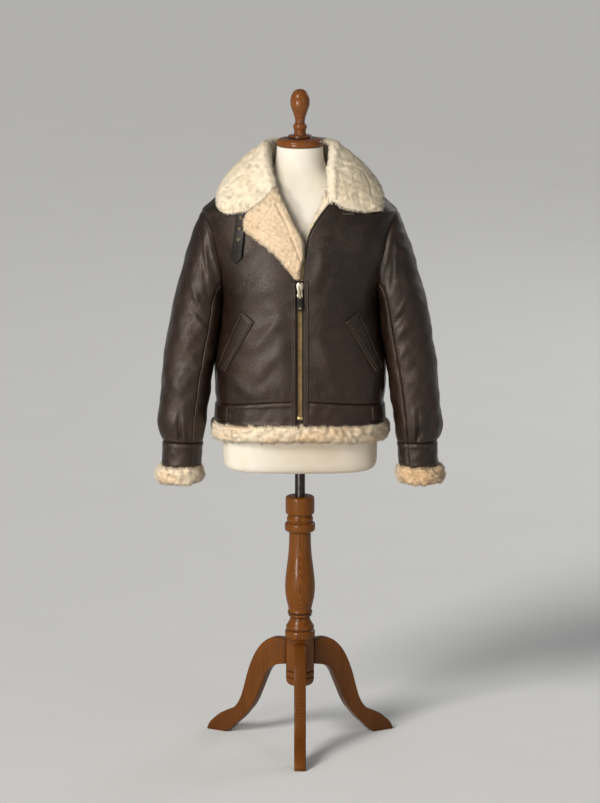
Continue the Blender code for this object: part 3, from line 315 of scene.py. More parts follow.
def shade(r, g, b):
    return (r, g, b, 1)


def leather(name, look):
    # grain cells with fine cracks between them, over clouds of lighter and darker dye
    made = Look(name, Specular_IOR_Level=look["gloss"], Specular_Tint=look["sheen"], Coat_Roughness=0.30)
    here = made.place()
    large = made.noise(here, 6.0, 4.0, 0.6)
    cloud = made.noise(here, 34.0, 5.0, 0.62)
    mottle = made.noise(here, 150.0, 4.0, 0.65)
    pebble = made.cells(here, look["grain"], "F1")
    crackle = made.cells(here, look["grain"] * 0.62, "DISTANCE_TO_EDGE")
    fineGrain = made.noise(here, look["fine"], 3.0, 0.65)
    colour = made.blend(large.within(0.36, 0.64), look["dark"], look["mid"])
    colour = made.blend(cloud.within(0.48, 0.72) * 0.6, colour, look["red"])
    colour = made.blend(mottle.within(0.42, 0.66) * 0.35, colour, look["dark"])
    worn = made.share("wearAndShadeShare")
    colour = made.blend(worn * (0.25 + 0.6 * mottle), colour, look["worn"])
    colour = made.blend((1.0 - crackle.within(0.0, 0.14)) * 0.35, colour, look["dark"])
    roughness = look["rough"] + 0.14 * cloud.within(0.35, 0.7) + 0.10 * mottle - 0.06 * worn
    height = 0.50 * (1.0 - pebble.within(0.05, 0.8)) + 0.28 * crackle.within(0.0, 0.20) + 0.30 * fineGrain
    soft = made.bump(mottle, 0.35, 0.0022, made.bump(cloud, 0.22, 0.0040))
    normal = made.bump(height, look["bump"], 0.0010, soft)
    polish = 0.06 + 0.10 * mottle.within(0.4, 0.7)
    return made.wear(Base_Color=colour, Roughness=roughness, Normal=normal, Coat_Weight=polish)


brownLeather = leather("leatherBrown", {
    "dark": shade(0.0072, 0.0038, 0.0025), "mid": shade(0.0168, 0.0084, 0.0054),
    "red": shade(0.0310, 0.0138, 0.0080), "worn": shade(0.058, 0.034, 0.021), "sheen": shade(1.0, 0.86, 0.74),
    "grain": 520.0, "fine": 1500.0, "rough": 0.25, "gloss": 0.39, "bump": 0.46,
})
blackLeather = leather("leatherBlack", {
    "dark": shade(0.004, 0.0036, 0.0034), "mid": shade(0.008, 0.007, 0.0068),
    "red": shade(0.011, 0.009, 0.008), "worn": shade(0.022, 0.018, 0.016), "sheen": shade(1.0, 0.86, 0.74),
    "grain": 620.0, "fine": 1900.0, "rough": 0.42, "gloss": 0.22, "bump": 0.4,
})


def wool(name, wools):
    # paler towards the tips and darker at the roots and in the partings, painted shade within the pile; with
    # tan patches, and more tan towards the wearer's left, painted shade on the side away from the light
    look = Look(name, Specular_IOR_Level=0.08, Sheen_Weight=0.05, Sheen_Roughness=0.6)
    here = look.place()
    cloud = look.noise(here, 9.0, 3.0, 0.6)
    tuft = look.noise(here, 120.0, 3.0, 0.6)
    tip = look.share("tipShare")
    tone = look.share("lockTone")
    colour = look.blend(tip.within(0.15, 0.95) * (0.55 + 0.45 * tone), wools["mid"], wools["pale"])
    colour = look.blend(cloud.within(0.44, 0.62) * wools["patch"], colour, wools["tan"])
    # painted shade in patches towards the wearer's left, the side away from the light
    shadedSide = look.node("ShaderNodeSeparateXYZ", {}, here).within(-0.05, 0.07)
    colour = look.blend(shadedSide * cloud.within(0.28, 0.58) * wools["drift"], colour, wools["tan"])
    # painted shade: the deep colour at the roots of the locks and in the partings
    colour = look.blend((1.0 - tip).within(0.45, 1.0) * 0.30, colour, wools["deep"])
    colour = look.blend(tuft.within(0.52, 0.75) * 0.12, colour, wools["deep"])
    roughness = 0.86 + 0.08 * tuft
    normal = look.bump(look.noise(here, 420.0, 4.0, 0.7), 0.4, 0.0016, look.bump(tuft, 0.35, 0.0020))
    return look.wear(Base_Color=colour, Roughness=roughness, Normal=normal)


# deep is the painted shade at the roots and in the partings; drift is how much painted shade falls towards the
# wearer's left
creamWool = wool("woolCream", {
    "pale": shade(0.800, 0.725, 0.590), "mid": shade(0.770, 0.670, 0.510), "deep": shade(0.66, 0.53, 0.36),
    "tan": shade(0.73, 0.590, 0.405), "patch": 0.40, "drift": 0.0,
})
sandWool = wool("woolSand", {
    "pale": shade(0.790, 0.695, 0.545), "mid": shade(0.745, 0.615, 0.440), "deep": shade(0.50, 0.35, 0.20),
    "tan": shade(0.62, 0.405, 0.220), "patch": 0.60, "drift": 0.60,
})
goldWool = wool("woolGold", {
    "pale": shade(0.730, 0.600, 0.435), "mid": shade(0.690, 0.540, 0.370), "deep": shade(0.54, 0.38, 0.23),
    "tan": shade(0.640, 0.460, 0.285), "patch": 0.40, "drift": 0.0,
})


def clothLook(name, cloth):
    # a plain weave with slubs, darker where the share of wear and shade is high: soil in patches, and painted
    # shade below the coat
    look = Look(name, Specular_IOR_Level=0.25, Sheen_Weight=0.15)
    here = look.place()
    cloud = look.noise(here, 6.0, 3.0, 0.55)
    warp = look.bands(here, "Z", cloth["weave"])
    weft = look.bands(look.place((1, 1, 0.02)), "DIAGONAL", cloth["weave"] * 0.8)
    slub = look.noise(look.place((1, 1, 9.0)), 160.0, 2.0, 0.5)
    threads = warp * 0.5 + weft * 0.5
    colour = look.blend(cloud.within(0.35, 0.7), cloth["pale"], cloth["dim"])
    colour = look.blend((1.0 - threads) * 0.16 + 0.12 * slub, colour, cloth["dim"])
    # the soiled colour is also the painted shade under the coat's hem
    colour = look.blend(look.share("wearAndShadeShare") * 0.72, colour, cloth["soiled"])
    normal = look.bump(threads + 0.5 * slub, 0.35, 0.0004)
    return look.wear(Base_Color=colour, Roughness=0.82 + 0.08 * cloud, Normal=normal)


ivoryCloth = clothLook("clothIvory", {
    "pale": shade(0.765, 0.725, 0.645), "dim": shade(0.67, 0.605, 0.495), "soiled": shade(0.36, 0.265, 0.165),
    "weave": 480.0,
})


def woodLook(name, look):
    # rings and long fibres with dark pores, under a thin varnish
    made = Look(name, Specular_IOR_Level=0.10, Coat_Weight=look["varnish"], Coat_Roughness=0.10)
    x, y, z = look["along"]
    here = made.place(look["along"])
    drift = made.noise(here, 5.0, 4.0, 0.6)
    figure = made.node("ShaderNodeTexWave", {"wave_type": "RINGS", "rings_direction": "Z"}, Vector=here,
                       Scale=look["rings"], Distortion=5.0, Detail=2.0, Detail_Scale=0.12)
    fibre = made.noise(made.place((x * 9, y * 9, z * 1.2)), 16.0, 4.0, 0.65)
    pores = made.noise(made.place((x * 32, y * 32, z * 3.0)), 14.0, 2.0, 0.5)
    colour = made.blend(figure.within(0.25, 0.95) * 0.60, look["pale"], look["mid"])
    colour = made.blend(drift.within(0.38, 0.64) * 0.65, colour, look["mid"])
    colour = made.blend(fibre.within(0.48, 0.74) * 0.40, colour, look["dark"])
    colour = made.blend(pores.within(0.58, 0.72) * 0.45, colour, look["dark"])
    colour = made.blend(made.share("wearAndShadeShare") * 0.9, colour, look["dark"])
    normal = made.bump(fibre + pores, 0.12, 0.0004)
    return made.wear(Base_Color=colour, Roughness=look["rough"] + 0.14 * fibre, Normal=normal)


oakWood = woodLook("woodOak", {
    "pale": shade(0.162, 0.0510, 0.0055), "mid": shade(0.072, 0.0205, 0.0022),
    "dark": shade(0.022, 0.0062, 0.0012),
    "along": (1, 1, 0.12), "rings": 130.0, "rough": 0.30, "varnish": 0.20,
})
redWood = woodLook("woodRed", {
    "pale": shade(0.195, 0.0640, 0.0140), "mid": shade(0.095, 0.0280, 0.0060),
    "dark": shade(0.028, 0.0080, 0.0025),
    "along": (1, 1, 0.18), "rings": 110.0, "rough": 0.26, "varnish": 0.26,
})


def metalLook(name, bright, dull, rough, metal=1.0):
    look = Look(name, Metallic=metal)
    here = look.place()
    cloud = look.noise(here, 60.0, 4.0, 0.6)
    scratch = look.noise(look.place((1, 1, 14)), 240.0, 3.0, 0.6)
    colour = look.blend(cloud.within(0.38, 0.70), bright, dull)
    colour = look.blend(look.share("wearAndShadeShare"), colour, dull)
    return look.wear(Base_Color=colour, Roughness=rough + 0.20 * cloud + 0.10 * scratch,
                     Normal=look.bump(scratch + cloud, 0.12, 0.0003))


agedBrass = metalLook("brassAged", shade(0.62, 0.46, 0.22), shade(0.30, 0.20, 0.085), 0.28)
paleMetal = metalLook("sliderMetal", shade(0.66, 0.59, 0.45), shade(0.38, 0.31, 0.21), 0.22)
# a pale metal made brighter and less metallic than it is: painted light, so the bar shows in the collar's
# shadow
buckleMetalPaintedLight = metalLook("buckleMetalPaintedLight", shade(0.86, 0.80, 0.68), shade(0.55, 0.48, 0.36), 0.35, 0.35)
darkSteel = metalLook("steelDark", shade(0.060, 0.050, 0.045), shade(0.030, 0.025, 0.022), 0.22)


def threadLook(name, tone, dim):
    look = Look(name, Specular_IOR_Level=0.3)
    twist = look.noise(look.place(), 900.0, 2.0, 0.5)
    return look.wear(Base_Color=look.blend(twist.within(0.4, 0.65), tone, dim), Roughness=0.62 + 0.2 * twist)


brownThread = threadLook("threadBrown", shade(0.052, 0.034, 0.024), shade(0.018, 0.011, 0.008))
zipTape = threadLook("zipTape", shade(0.022, 0.016, 0.012), shade(0.010, 0.007, 0.006))
print("materials made")
sewnBody, sewnSleeves, sewnTrims = [], [], []     # skins with the edges that are topstitched

# the coat's form, as the solids have it
bodyAt = columnsOf("height halfWidth front back square", [
    (0.770, 0.2060, 0.136, 0.136, 2.40), (0.820, 0.2060, 0.136, 0.136, 2.40),
    (0.8645, 0.2035, 0.137, 0.135, 2.40), (0.900, 0.2075, 0.142, 0.138, 2.40),
    (0.940, 0.2090, 0.145, 0.139, 2.40), (1.000, 0.2030, 0.147, 0.138, 2.40),
    (1.050, 0.1960, 0.148, 0.137, 2.40), (1.115, 0.1900, 0.150, 0.137, 2.40),
    (1.177, 0.2050, 0.150, 0.137, 2.35), (1.250, 0.2265, 0.145, 0.135, 2.35),
    (1.300, 0.2345, 0.134, 0.130, 2.30), (1.334, 0.2350, 0.1225, 0.1235, 2.25),
    (1.3515, 0.2190, 0.1140, 0.1180, 2.20), (1.3725, 0.1955, 0.1028, 0.1100, 2.15),
    (1.4015, 0.1497, 0.085, 0.098, 2.10), (1.420, 0.1100, 0.071, 0.090, 2.05),
    (1.434, 0.0810, 0.061, 0.084, 2.00), (1.450, 0.0700, 0.055, 0.078, 2.00),
])
formAt = columnsOf("height halfWidth front back square", [
    (0.7000, 0.168, 0.090, 0.090, 3.20), (0.7025, 0.176, 0.098, 0.098, 3.20),
    (0.7095, 0.184, 0.106, 0.106, 3.20), (0.7230, 0.188, 0.111, 0.111, 3.10),
    (0.7600, 0.1885, 0.113, 0.113, 3.00), (0.8200, 0.186, 0.114, 0.113, 2.80),
    (0.9000, 0.175, 0.110, 0.108, 2.45), (0.9800, 0.168, 0.107, 0.105, 2.40),
    (1.0800, 0.167, 0.112, 0.110, 2.35), (1.1800, 0.171, 0.120, 0.115, 2.30),
    (1.2500, 0.173, 0.116, 0.114, 2.25), (1.3000, 0.172, 0.107, 0.108, 2.20),
    (1.3400, 0.1715, 0.0920, 0.1010, 2.15), (1.3650, 0.1715, 0.0810, 0.0945, 2.10),
    (1.3780, 0.1690, 0.0765, 0.0900, 2.05), (1.3840, 0.1640, 0.0740, 0.0870, 2.05),
    (1.3940, 0.1455, 0.0700, 0.0825, 2.00), (1.4040, 0.1240, 0.0665, 0.0775, 2.00),
    (1.4120, 0.1060, 0.0640, 0.0725, 2.00), (1.4200, 0.0885, 0.0615, 0.0680, 2.00),
    (1.4270, 0.0755, 0.0590, 0.0630, 2.00), (1.4420, 0.0640, 0.0575, 0.0580, 2.00),
    (1.4640, 0.0575, 0.0560, 0.0565, 2.00), (1.4897, 0.0552, 0.0550, 0.0552, 2.00),
])
armholeAt = columnsOf("height front back", [
    (1.115, 0.190, 0.190), (1.119, 0.190, 0.1895), (1.131, 0.190, 0.1898), (1.150, 0.190, 0.1930),
    (1.177, 0.190, 0.1980), (1.210, 0.194, 0.205), (1.250, 0.203, 0.212), (1.290, 0.2140, 0.2205),
    (1.322, 0.2290, 0.2310), (1.334, 0.2350, 0.2350),
])
frontEdgeAt = columnsOf("height right left", [
    (1.1880, 0.0056, 0.0088), (1.2050, 0.0040, 0.0108), (1.2250, 0.0012, 0.0130), (1.2480, -0.0022, 0.0162),
    (1.2700, -0.0020, 0.0195), (1.2930, 0.0065, 0.0255), (1.3160, 0.0190, 0.0375), (1.3390, 0.0310, 0.0530),
    (1.3570, 0.0400, 0.0685), (1.3680, 0.0460, 0.0790), (1.3850, 0.0540, 0.0785), (1.3950, 0.0590, 0.0785),
])
neckAngleAt = columnsOf("height angle", [(1.3950, 36), (1.4110, 52), (1.4240, 70), (1.4340, 88)])["angle"]
coat = {"gap": 0.0003, "wall": 0.0072, "underarm": 1.115, "shoulder": 1.334, "neckSide": 1.434,
        "neckBack": 1.447, "zipHalf": 0.008, "bandTop": (0.886, 0.8645), "bandEnd": (0.8245, 0.8130)}

# soft folds, wide ones first: side (-1 front, 1 back), from (x, z), to (x, z), half width, how far out
bodyFolds = [
    (-1, -0.105, 1.110, -0.105, 0.890, 0.030, 0.0030), (-1, -0.045, 1.100, -0.045, 0.880, 0.026, 0.0020),
    (-1, -0.165, 1.230, -0.165, 1.070, 0.026, -0.0025), (-1, 0.060, 1.330, 0.060, 1.170, 0.026, 0.0025),
    (-1, 0.130, 1.080, 0.130, 0.880, 0.030, 0.0020), (-1, 0.165, 1.240, 0.165, 1.080, 0.026, -0.0025),
    (1, -0.130, 1.230, -0.130, 1.010, 0.032, 0.0035), (1, 0.125, 1.200, 0.125, 0.980, 0.032, 0.0035),
    (1, -0.050, 1.090, -0.050, 0.890, 0.030, 0.0025), (1, 0.060, 1.100, 0.060, 0.900, 0.030, -0.0030),
    (1, 0.000, 1.350, 0.000, 1.170, 0.045, -0.0030),
]
bodyCreases = [
    (-1, -0.030, 1.130, -0.120, 1.005, 0.016, 0.0030), (-1, -0.048, 1.105, -0.128, 1.050, 0.011, -0.0018),
    (-1, -0.026, 1.055, -0.105, 0.935, 0.018, 0.0028), (-1, -0.040, 1.010, -0.115, 0.905, 0.011, -0.0016),
    (-1, -0.170, 1.200, -0.105, 1.285, 0.014, 0.0022), (-1, -0.150, 1.150, -0.080, 1.215, 0.012, -0.0014),
    (-1, -0.185, 1.140, -0.140, 1.160, 0.009, 0.0016), (-1, -0.185, 0.960, -0.120, 0.900, 0.013, 0.0016),
    (-1, 0.060, 1.265, 0.028, 1.150, 0.015, 0.0030), (-1, 0.082, 1.245, 0.046, 1.140, 0.011, -0.0018),
    (-1, 0.145, 1.320, 0.128, 1.180, 0.018, 0.0024), (-1, 0.170, 1.170, 0.110, 1.235, 0.012, 0.0018),
    (-1, 0.030, 1.060, 0.085, 0.950, 0.018, 0.0020), (-1, 0.180, 1.130, 0.120, 1.150, 0.009, 0.0014),
    (-1, 0.180, 0.950, 0.095, 0.905, 0.014, 0.0018), (-1, 0.045, 0.960, 0.075, 0.895, 0.010, -0.0012),
    (1, -0.175, 1.180, -0.095, 1.110, 0.014, 0.0028), (1, -0.165, 1.150, -0.085, 1.075, 0.010, -0.0018),
    (1, 0.178, 1.170, 0.100, 1.095, 0.013, 0.0028), (1, 0.160, 1.140, 0.080, 1.060, 0.010, -0.0016),
    (1, -0.155, 1.010, -0.075, 0.930, 0.016, 0.0024), (1, 0.140, 1.000, 0.060, 0.925, 0.015, 0.0022),
    (1, -0.020, 1.020, -0.045, 0.900, 0.013, 0.0020), (1, 0.020, 1.330, 0.070, 1.270, 0.020, 0.0018),
    (1, -0.060, 1.330, -0.100, 1.250, 0.018, 0.0020), (1, 0.150, 0.930, 0.100, 0.890, 0.010, 0.0014),
]


def ringPoint(shape, angle, height):
    angle, height = np.broadcast_arrays(np.asarray(angle, float), np.asarray(height, float))
    across, along = np.sin(angle), np.cos(angle)
    depth = np.where(along > 0, shape["front"](height), shape["back"](height))
    square, width = shape["square"](height), shape["halfWidth"](height)
    radius = (np.abs(along / depth) ** square + np.abs(across / width) ** square) ** (-1 / square)
    return np.stack([radius * across, -radius * along, height], axis=-1)


def foldsOut(points, folds):
    out = np.zeros(points.shape[:-1])
    for side, x0, z0, x1, z1, width, stand in folds:
        dx, dz = x1 - x0, z1 - z0
        long = math.hypot(dx, dz)
        px, pz = points[..., 0] - x0, points[..., 2] - z0
        run = (px * dx + pz * dz) / long / long
        off = (px * dz - pz * dx) / long + 0.10 * long * (run - run * run)
        shown = np.clip(side * points[..., 1] / 0.03, 0, 1)
        out += stand * shown * np.exp(-(off / width) ** 2) * np.clip(4 * run * (1 - run), 0, 1) ** 1.3
    return out


# unevenness of the leather: height, size, draw; the slope of the body is measured this step to each side
softness = {"broad": (0.0011, 0.11, 5), "small": (0.00045, 0.035, 6), "ripple": (0.0007, 0.022, 7),
            "rippleAt": (0.905, 0.016), "step": 0.0005}


def bodyPoint(angle, height, out=0.0):
    angle, height, out = np.broadcast_arrays(*(np.asarray(v, float) for v in (angle, height, out)))
    step = softness["step"]
    here = ringPoint(bodyAt, angle, height)
    turned = ringPoint(bodyAt, angle + step, height) - ringPoint(bodyAt, angle - step, height)
    raised = ringPoint(bodyAt, angle, height + step) - ringPoint(bodyAt, angle, height - step)
    normal = unit(np.cross(turned, raised))
    calm = np.clip((height - 0.885) / 0.03, 0, 1) * np.clip((1.40 - height) / 0.03, 0, 1)
    soft = foldsOut(here, bodyFolds) + foldsOut(here, bodyCreases) * calm
    for high, size, draw in (softness["broad"], softness["small"]):
        soft = soft + calm * high * waves(here, size, draw)
    high, size, draw = softness["ripple"]
    ripple = hump(height, *softness["rippleAt"]) * high * waves(here * np.array([1, 1, 0.15]), size, draw)
    return here + normal * (soft + ripple + out)[..., None]


def bodyNormal(angle, height):
    return unit(bodyPoint(angle, height, 0.001) - bodyPoint(angle, height, 0.0))


def angleAt(x, height, behind=False):
    x, height = np.broadcast_arrays(np.asarray(x, float), np.asarray(height, float))
    square, width = bodyAt["square"](height), bodyAt["halfWidth"](height)
    depth = bodyAt["back" if behind else "front"](height)
    y = depth * np.clip(1 - np.abs(x / width) ** square, 0, 1) ** (1 / square)
    return np.arctan2(x, -y if behind else y)


def frontPoint(x, height, out=0.0):
    return bodyPoint(angleAt(x, height), height, out)


def bandLine(which, angle):
    front, side = coat[which]
    return side + (front - side) * np.clip(np.cos(angle), 0, 1) ** 1.5


fineRows = {"lower": 48, "armhole": 54, "upper": 24, "frontColumns": 52, "backColumns": 88}
lowerShare = np.linspace(0, 1, fineRows["lower"] + 1)
armholeShare = (1 - np.cos(np.pi * np.arange(fineRows["armhole"] + 1) / fineRows["armhole"])) / 2
armholeHeights = coat["underarm"] + (coat["shoulder"] - coat["underarm"]) * armholeShare
upperShare = np.linspace(0, 1, fineRows["upper"] + 1)[1:]


def armholeLoop():
    down = armholeHeights[::-1]
    front = angleAt(np.minimum(armholeAt["front"](down), bodyAt["halfWidth"](down)), down)
    up = armholeHeights[1:-1]
    back = angleAt(np.minimum(armholeAt["back"](up), bodyAt["halfWidth"](up)), up, behind=True)
    return np.concatenate([front, back]), np.concatenate([down, up])


loopAngles, loopHeights = armholeLoop()
ringPoints = len(loopAngles)
ringTurn = 2 * np.pi * np.arange(ringPoints) / ringPoints


def rowHeights(angles):
    low = bandLine("bandTop", angles[: len(lowerShare) - 1]) + coat["gap"] / 2
    low = low + (coat["underarm"] - low) * lowerShare[:-1, None]
    middle = np.repeat(armholeHeights[:, None], angles.shape[1], axis=1)
    top = angles[-len(upperShare):]
    fromFront = np.pi - np.abs(np.pi - np.abs(top))
    behind = np.clip((fromFront - math.radians(100)) / math.radians(80), 0, 1)
    neck = coat["neckSide"] + (coat["neckBack"] - coat["neckSide"]) * behind * behind * (3 - 2 * behind)
    return np.concatenate([low, middle, coat["shoulder"] + (neck - coat["shoulder"]) * upperShare[:, None]])


def plainHeights():
    low = coat["bandTop"][0] + (coat["underarm"] - coat["bandTop"][0]) * lowerShare[:-1]
    upper = coat["shoulder"] + (coat["neckSide"] - coat["shoulder"]) * upperShare
    return np.concatenate([low, armholeHeights, upper])


def frontEdge(side, heights):
    edge = frontEdgeAt[side](np.maximum(heights, 1.188))
    part = np.clip((heights - 1.172) / 0.016, 0, 1)
    x = np.where(heights < 1.188, coat["zipHalf"] * (1 - part) + edge * part, edge)
    return np.where(heights < 1.395, angleAt(x, heights), np.radians(neckAngleAt(heights)))


def seamRoll(grid, ends, depth=0.0016, width=0.0045):
    # how the leather turns down into each seam, and how far the seams are; ends name the sewn sides
    across = np.cumsum(np.linalg.norm(np.diff(grid, axis=1), axis=-1), axis=1)
    across = np.concatenate([np.zeros((len(grid), 1)), across], axis=1)
    down = np.cumsum(np.linalg.norm(np.diff(grid, axis=0), axis=-1), axis=0)
    down = np.concatenate([np.zeros((1, grid.shape[1])), down], axis=0)
    reach = {"start": across, "end": across[:, -1:] - across, "low": down, "high": down[-1:] - down}
    out = -depth * sum(hump(reach[end], 0, width) for end in ends)
    return out, np.min([reach[end] for end in ends], axis=0)


panel = {"ridges": [(0.0013, 0.0060, 0.0026), (-0.0007, 0.0105, 0.0025)], "worn": [(0.30, 0.0055, 0.003)],
         "patches": 0.25, "fade": 0.03, "sewn": 0.0065, "free": 0.004}


def bodyPanel(name, starts, ends, columns, seams, mirrored=False):
    share = np.linspace(0, 1, columns + 1)
    angles = starts[:, None] + (ends - starts)[:, None] * share
    levels = rowHeights(angles)
    if mirrored:
        angles = -angles
    plain = bodyPoint(angles, levels)
    out, near = seamRoll(plain, seams)
    outer = bodyPoint(angles, levels, out + ridges(near, panel["ridges"]))
    piece = wallBetween(name, outer, bodyPoint(angles, levels, -coat["wall"]), [brownLeather, creamWool])
    patches = np.clip(waves(plain, 0.05, 11), 0, 1) * np.exp(-near / panel["fade"])
    addShare(piece, "wearAndShadeShare", ridges(near, panel["worn"]) + panel["patches"] * patches)
    rideAs(piece, "form", name)
    sewnBody.append((outer, seams, (panel["sewn"],), panel["free"]))


heights = plainHeights()
firstRow, half = len(lowerShare) - 1, fineRows["armhole"]
sideEnds = np.full(len(heights), quarter)
sideEnds[firstRow:firstRow + half + 1] = loopAngles[: half + 1][::-1]
shoulderTurn = np.clip((heights - coat["shoulder"]) / (coat["neckSide"] - coat["shoulder"]), 0, 1)
sideEnds[firstRow + half + 1:] = (quarter + math.radians(6) * shoulderTurn)[firstRow + half + 1:]
for side in ("left", "right"):
    bodyPanel(f"front_{side}", frontEdge(side, heights), sideEnds, fineRows["frontColumns"], ("end", "low"),
              mirrored=side == "right")
backStarts = sideEnds.copy()
backRows = np.concatenate([[half], np.arange(half + 1, ringPoints), [0]])
backStarts[firstRow:firstRow + half + 1] = loopAngles[backRows]
bodyPanel("back", backStarts, 2 * np.pi - backStarts, fineRows["backColumns"], ("start", "end", "low"))
print("body panels made")

sleeveAt = columnsOf("run outerX outerZ innerX innerZ middleY halfDepth armhole", [
    (0.00, 0.2350, 1.3340, 0.1900, 1.1150, -0.012, 0.072, 1.00),
    (0.08, 0.2485, 1.3120, 0.1903, 1.1070, -0.012, 0.073, 0.62),
    (0.18, 0.2645, 1.2660, 0.1900, 1.0940, -0.012, 0.074, 0.30),
    (0.30, 0.2840, 1.2000, 0.1905, 1.0740, -0.012, 0.074, 0.08),
    (0.45, 0.3045, 1.1225, 0.1925, 1.0430, -0.013, 0.071, 0.00),
    (0.60, 0.3208, 1.0400, 0.2012, 0.9920, -0.015, 0.067, 0.00),
    (0.74, 0.3345, 0.9480, 0.2145, 0.9250, -0.018, 0.063, 0.00),
    (0.86, 0.3435, 0.8620, 0.2240, 0.8540, -0.021, 0.059, 0.00),
    (0.93, 0.3468, 0.8150, 0.2298, 0.8110, -0.022, 0.056, 0.00),
    (0.97, 0.3425, 0.7890, 0.2332, 0.7870, -0.022, 0.053, 0.00),
    (1.00, 0.3355, 0.7720, 0.2363, 0.7690, -0.022, 0.050, 0.00),
])
sleeve = {
    "rows": 100, "square": 2.25, "long": 0.60, "round": 0.060, "wall": 0.0065, "seams": (third, 2 * third),
    "pleatTurn": {"left": 1.52, "right": 1.42}, "pleatDeep": 0.0090, "pleatRound": 0.052,
    "pleat": [(-1, 0, 0.0035), (0.75, 0.0085, 0.006)], "gathersFrom": 0.84, "gathers": 0.0012,
    "seamDeep": 0.0013, "seamWide": 0.0035, "topRoll": [(0.0022, 0.012, 0.008)],
    "endRoll": [(-0.0012, 0, 0.004)], "worn": [(0.20, 0.0055, 0.003)], "patches": 0.22,
    "sewn": 0.0062, "free": 0.006,
}
# folds along each sleeve: from (run, turn) to (run, turn), half width in metres, how far it stands out
sleeveFolds = {
    "left": [(0.06, 0.75, 0.20, 1.45, 0.010, 0.0026), (0.10, 1.10, 0.24, 1.80, 0.009, -0.0018),
             (0.34, 1.00, 0.42, 1.90, 0.012, 0.0030), (0.42, 1.30, 0.47, 2.30, 0.009, -0.0022),
             (0.48, 1.15, 0.56, 2.20, 0.012, 0.0028), (0.60, 1.40, 0.66, 2.30, 0.011, 0.0022),
             (0.70, 0.80, 0.80, 1.80, 0.014, 0.0024), (0.30, -0.60, 0.70, -0.40, 0.022, 0.0020),
             (0.38, 4.90, 0.46, 3.90, 0.012, 0.0030), (0.50, 4.90, 0.58, 3.90, 0.012, 0.0028),
             (0.08, 5.40, 0.22, 4.70, 0.010, 0.0022), (0.66, 5.10, 0.76, 4.20, 0.013, 0.0022)],
    "right": [(0.05, 0.70, 0.17, 1.50, 0.010, 0.0024), (0.12, 1.00, 0.27, 1.75, 0.009, -0.0018),
              (0.30, 0.90, 0.40, 1.80, 0.012, 0.0028), (0.44, 1.20, 0.50, 2.25, 0.011, 0.0030),
              (0.53, 1.30, 0.58, 2.30, 0.009, -0.0020), (0.62, 1.10, 0.70, 2.10, 0.012, 0.0024),
              (0.74, 0.70, 0.83, 1.70, 0.013, 0.0020), (0.34, -0.50, 0.78, -0.30, 0.020, 0.0022),
              (0.35, 4.80, 0.44, 3.80, 0.012, 0.0028), (0.52, 4.95, 0.60, 4.00, 0.012, 0.0028),
              (0.09, 5.30, 0.25, 4.60, 0.010, 0.0022), (0.70, 5.00, 0.79, 4.10, 0.013, 0.0024)],
}


def sleeveRing(run):
    cosine, sine = np.cos(ringTurn), np.sin(ringTurn)
    grow = (np.abs(cosine) ** sleeve["square"] + np.abs(sine) ** sleeve["square"]) ** (-1 / sleeve["square"])
    ends = []
    for which in ("outer", "inner"):
        ends.append(np.array([sleeveAt[f"{which}X"](run), 0, sleeveAt[f"{which}Z"](run)]))
    middle, reach = (ends[0] + ends[1]) / 2, (ends[0] - ends[1]) / 2
    points = middle + np.outer(cosine * grow, reach)
    points[:, 1] = sleeveAt["middleY"](run) - sine * grow * sleeveAt["halfDepth"](run)
    return points


def sleeveNormals(rings):
    normals = gridNormals(rings, around=True)
    return normals if np.sum(normals * (rings - rings.mean(axis=1, keepdims=True))) > 0 else -normals


def sleeveOutside(side):
    # the skin of the sleeve at +X as rings from the armhole down, with the folds of that side
    flip = flips[side]
    runs = np.concatenate([[0, 0.004, 0.010, 0.018, 0.028], np.linspace(0.04, 1, sleeve["rows"] - 5)])
    seam = bodyPoint(loopAngles * flip[0], loopHeights, -0.0016) * flip
    first = seam - sleeveRing(0.0)
    rings = np.array([sleeveRing(run) + sleeveAt["armhole"](run) * first for run in runs])
    normals = sleeveNormals(rings)
    out = np.zeros(rings.shape[:2])
    for fromRun, fromTurn, toRun, toTurn, width, stand in sleeveFolds[side]:
        along, around = (toRun - fromRun) * sleeve["long"], (toTurn - fromTurn) * sleeve["round"]
        long = math.hypot(along, around)
        down = (runs[:, None] - fromRun) * sleeve["long"]
        over = ((ringTurn[None] - fromTurn + np.pi) % (2 * np.pi) - np.pi) * sleeve["round"]
        share = (down * along + over * around) / long / long
        off = (down * around - over * along) / long + 0.12 * long * (share - share * share)
        out += stand * hump(off, 0, width) * np.clip(4 * share * (1 - share), 0, 1) ** 1.2
    local = rings * flip
    out += 0.0011 * waves(local, 0.10, 21) + 0.0005 * waves(local, 0.034, 22)
    # gathers into the cuff, and one pleat at the front
    low = np.clip((runs - sleeve["gathersFrom"]) / (1 - sleeve["gathersFrom"]), 0, 1)[:, None]
    out += low ** 1.5 * sleeve["gathers"] * waves(local * np.array([1, 1, 0.12]), 0.020, 23)
    fromPleat = (ringTurn[None] - sleeve["pleatTurn"][side] - 0.10 * low) * sleeve["pleatRound"]
    easing = np.clip((1.02 - runs[:, None]) / 0.05, 0.45, 1)
    out += sleeve["pleatDeep"] * low ** 1.3 * ridges(fromPleat, sleeve["pleat"]) * easing
    fromSeam = np.min([np.abs(ringTurn - turn) for turn in sleeve["seams"]], axis=0) * 0.058
    out -= sleeve["seamDeep"] * hump(fromSeam, 0, sleeve["seamWide"])[None]
    fromTop = np.linalg.norm(rings - rings[:1], axis=-1)
    out = out * np.clip(fromTop / 0.02, 0, 1) + ridges(fromTop, sleeve["topRoll"])
    fromEnd = np.linalg.norm(rings - rings[-1:], axis=-1)
    out = out * np.clip(fromEnd / 0.012, 0.15, 1) + ridges(fromEnd, sleeve["endRoll"])
    return rings + normals * out[..., None], normals, np.minimum(fromSeam[None], np.minimum(fromTop, fromEnd))


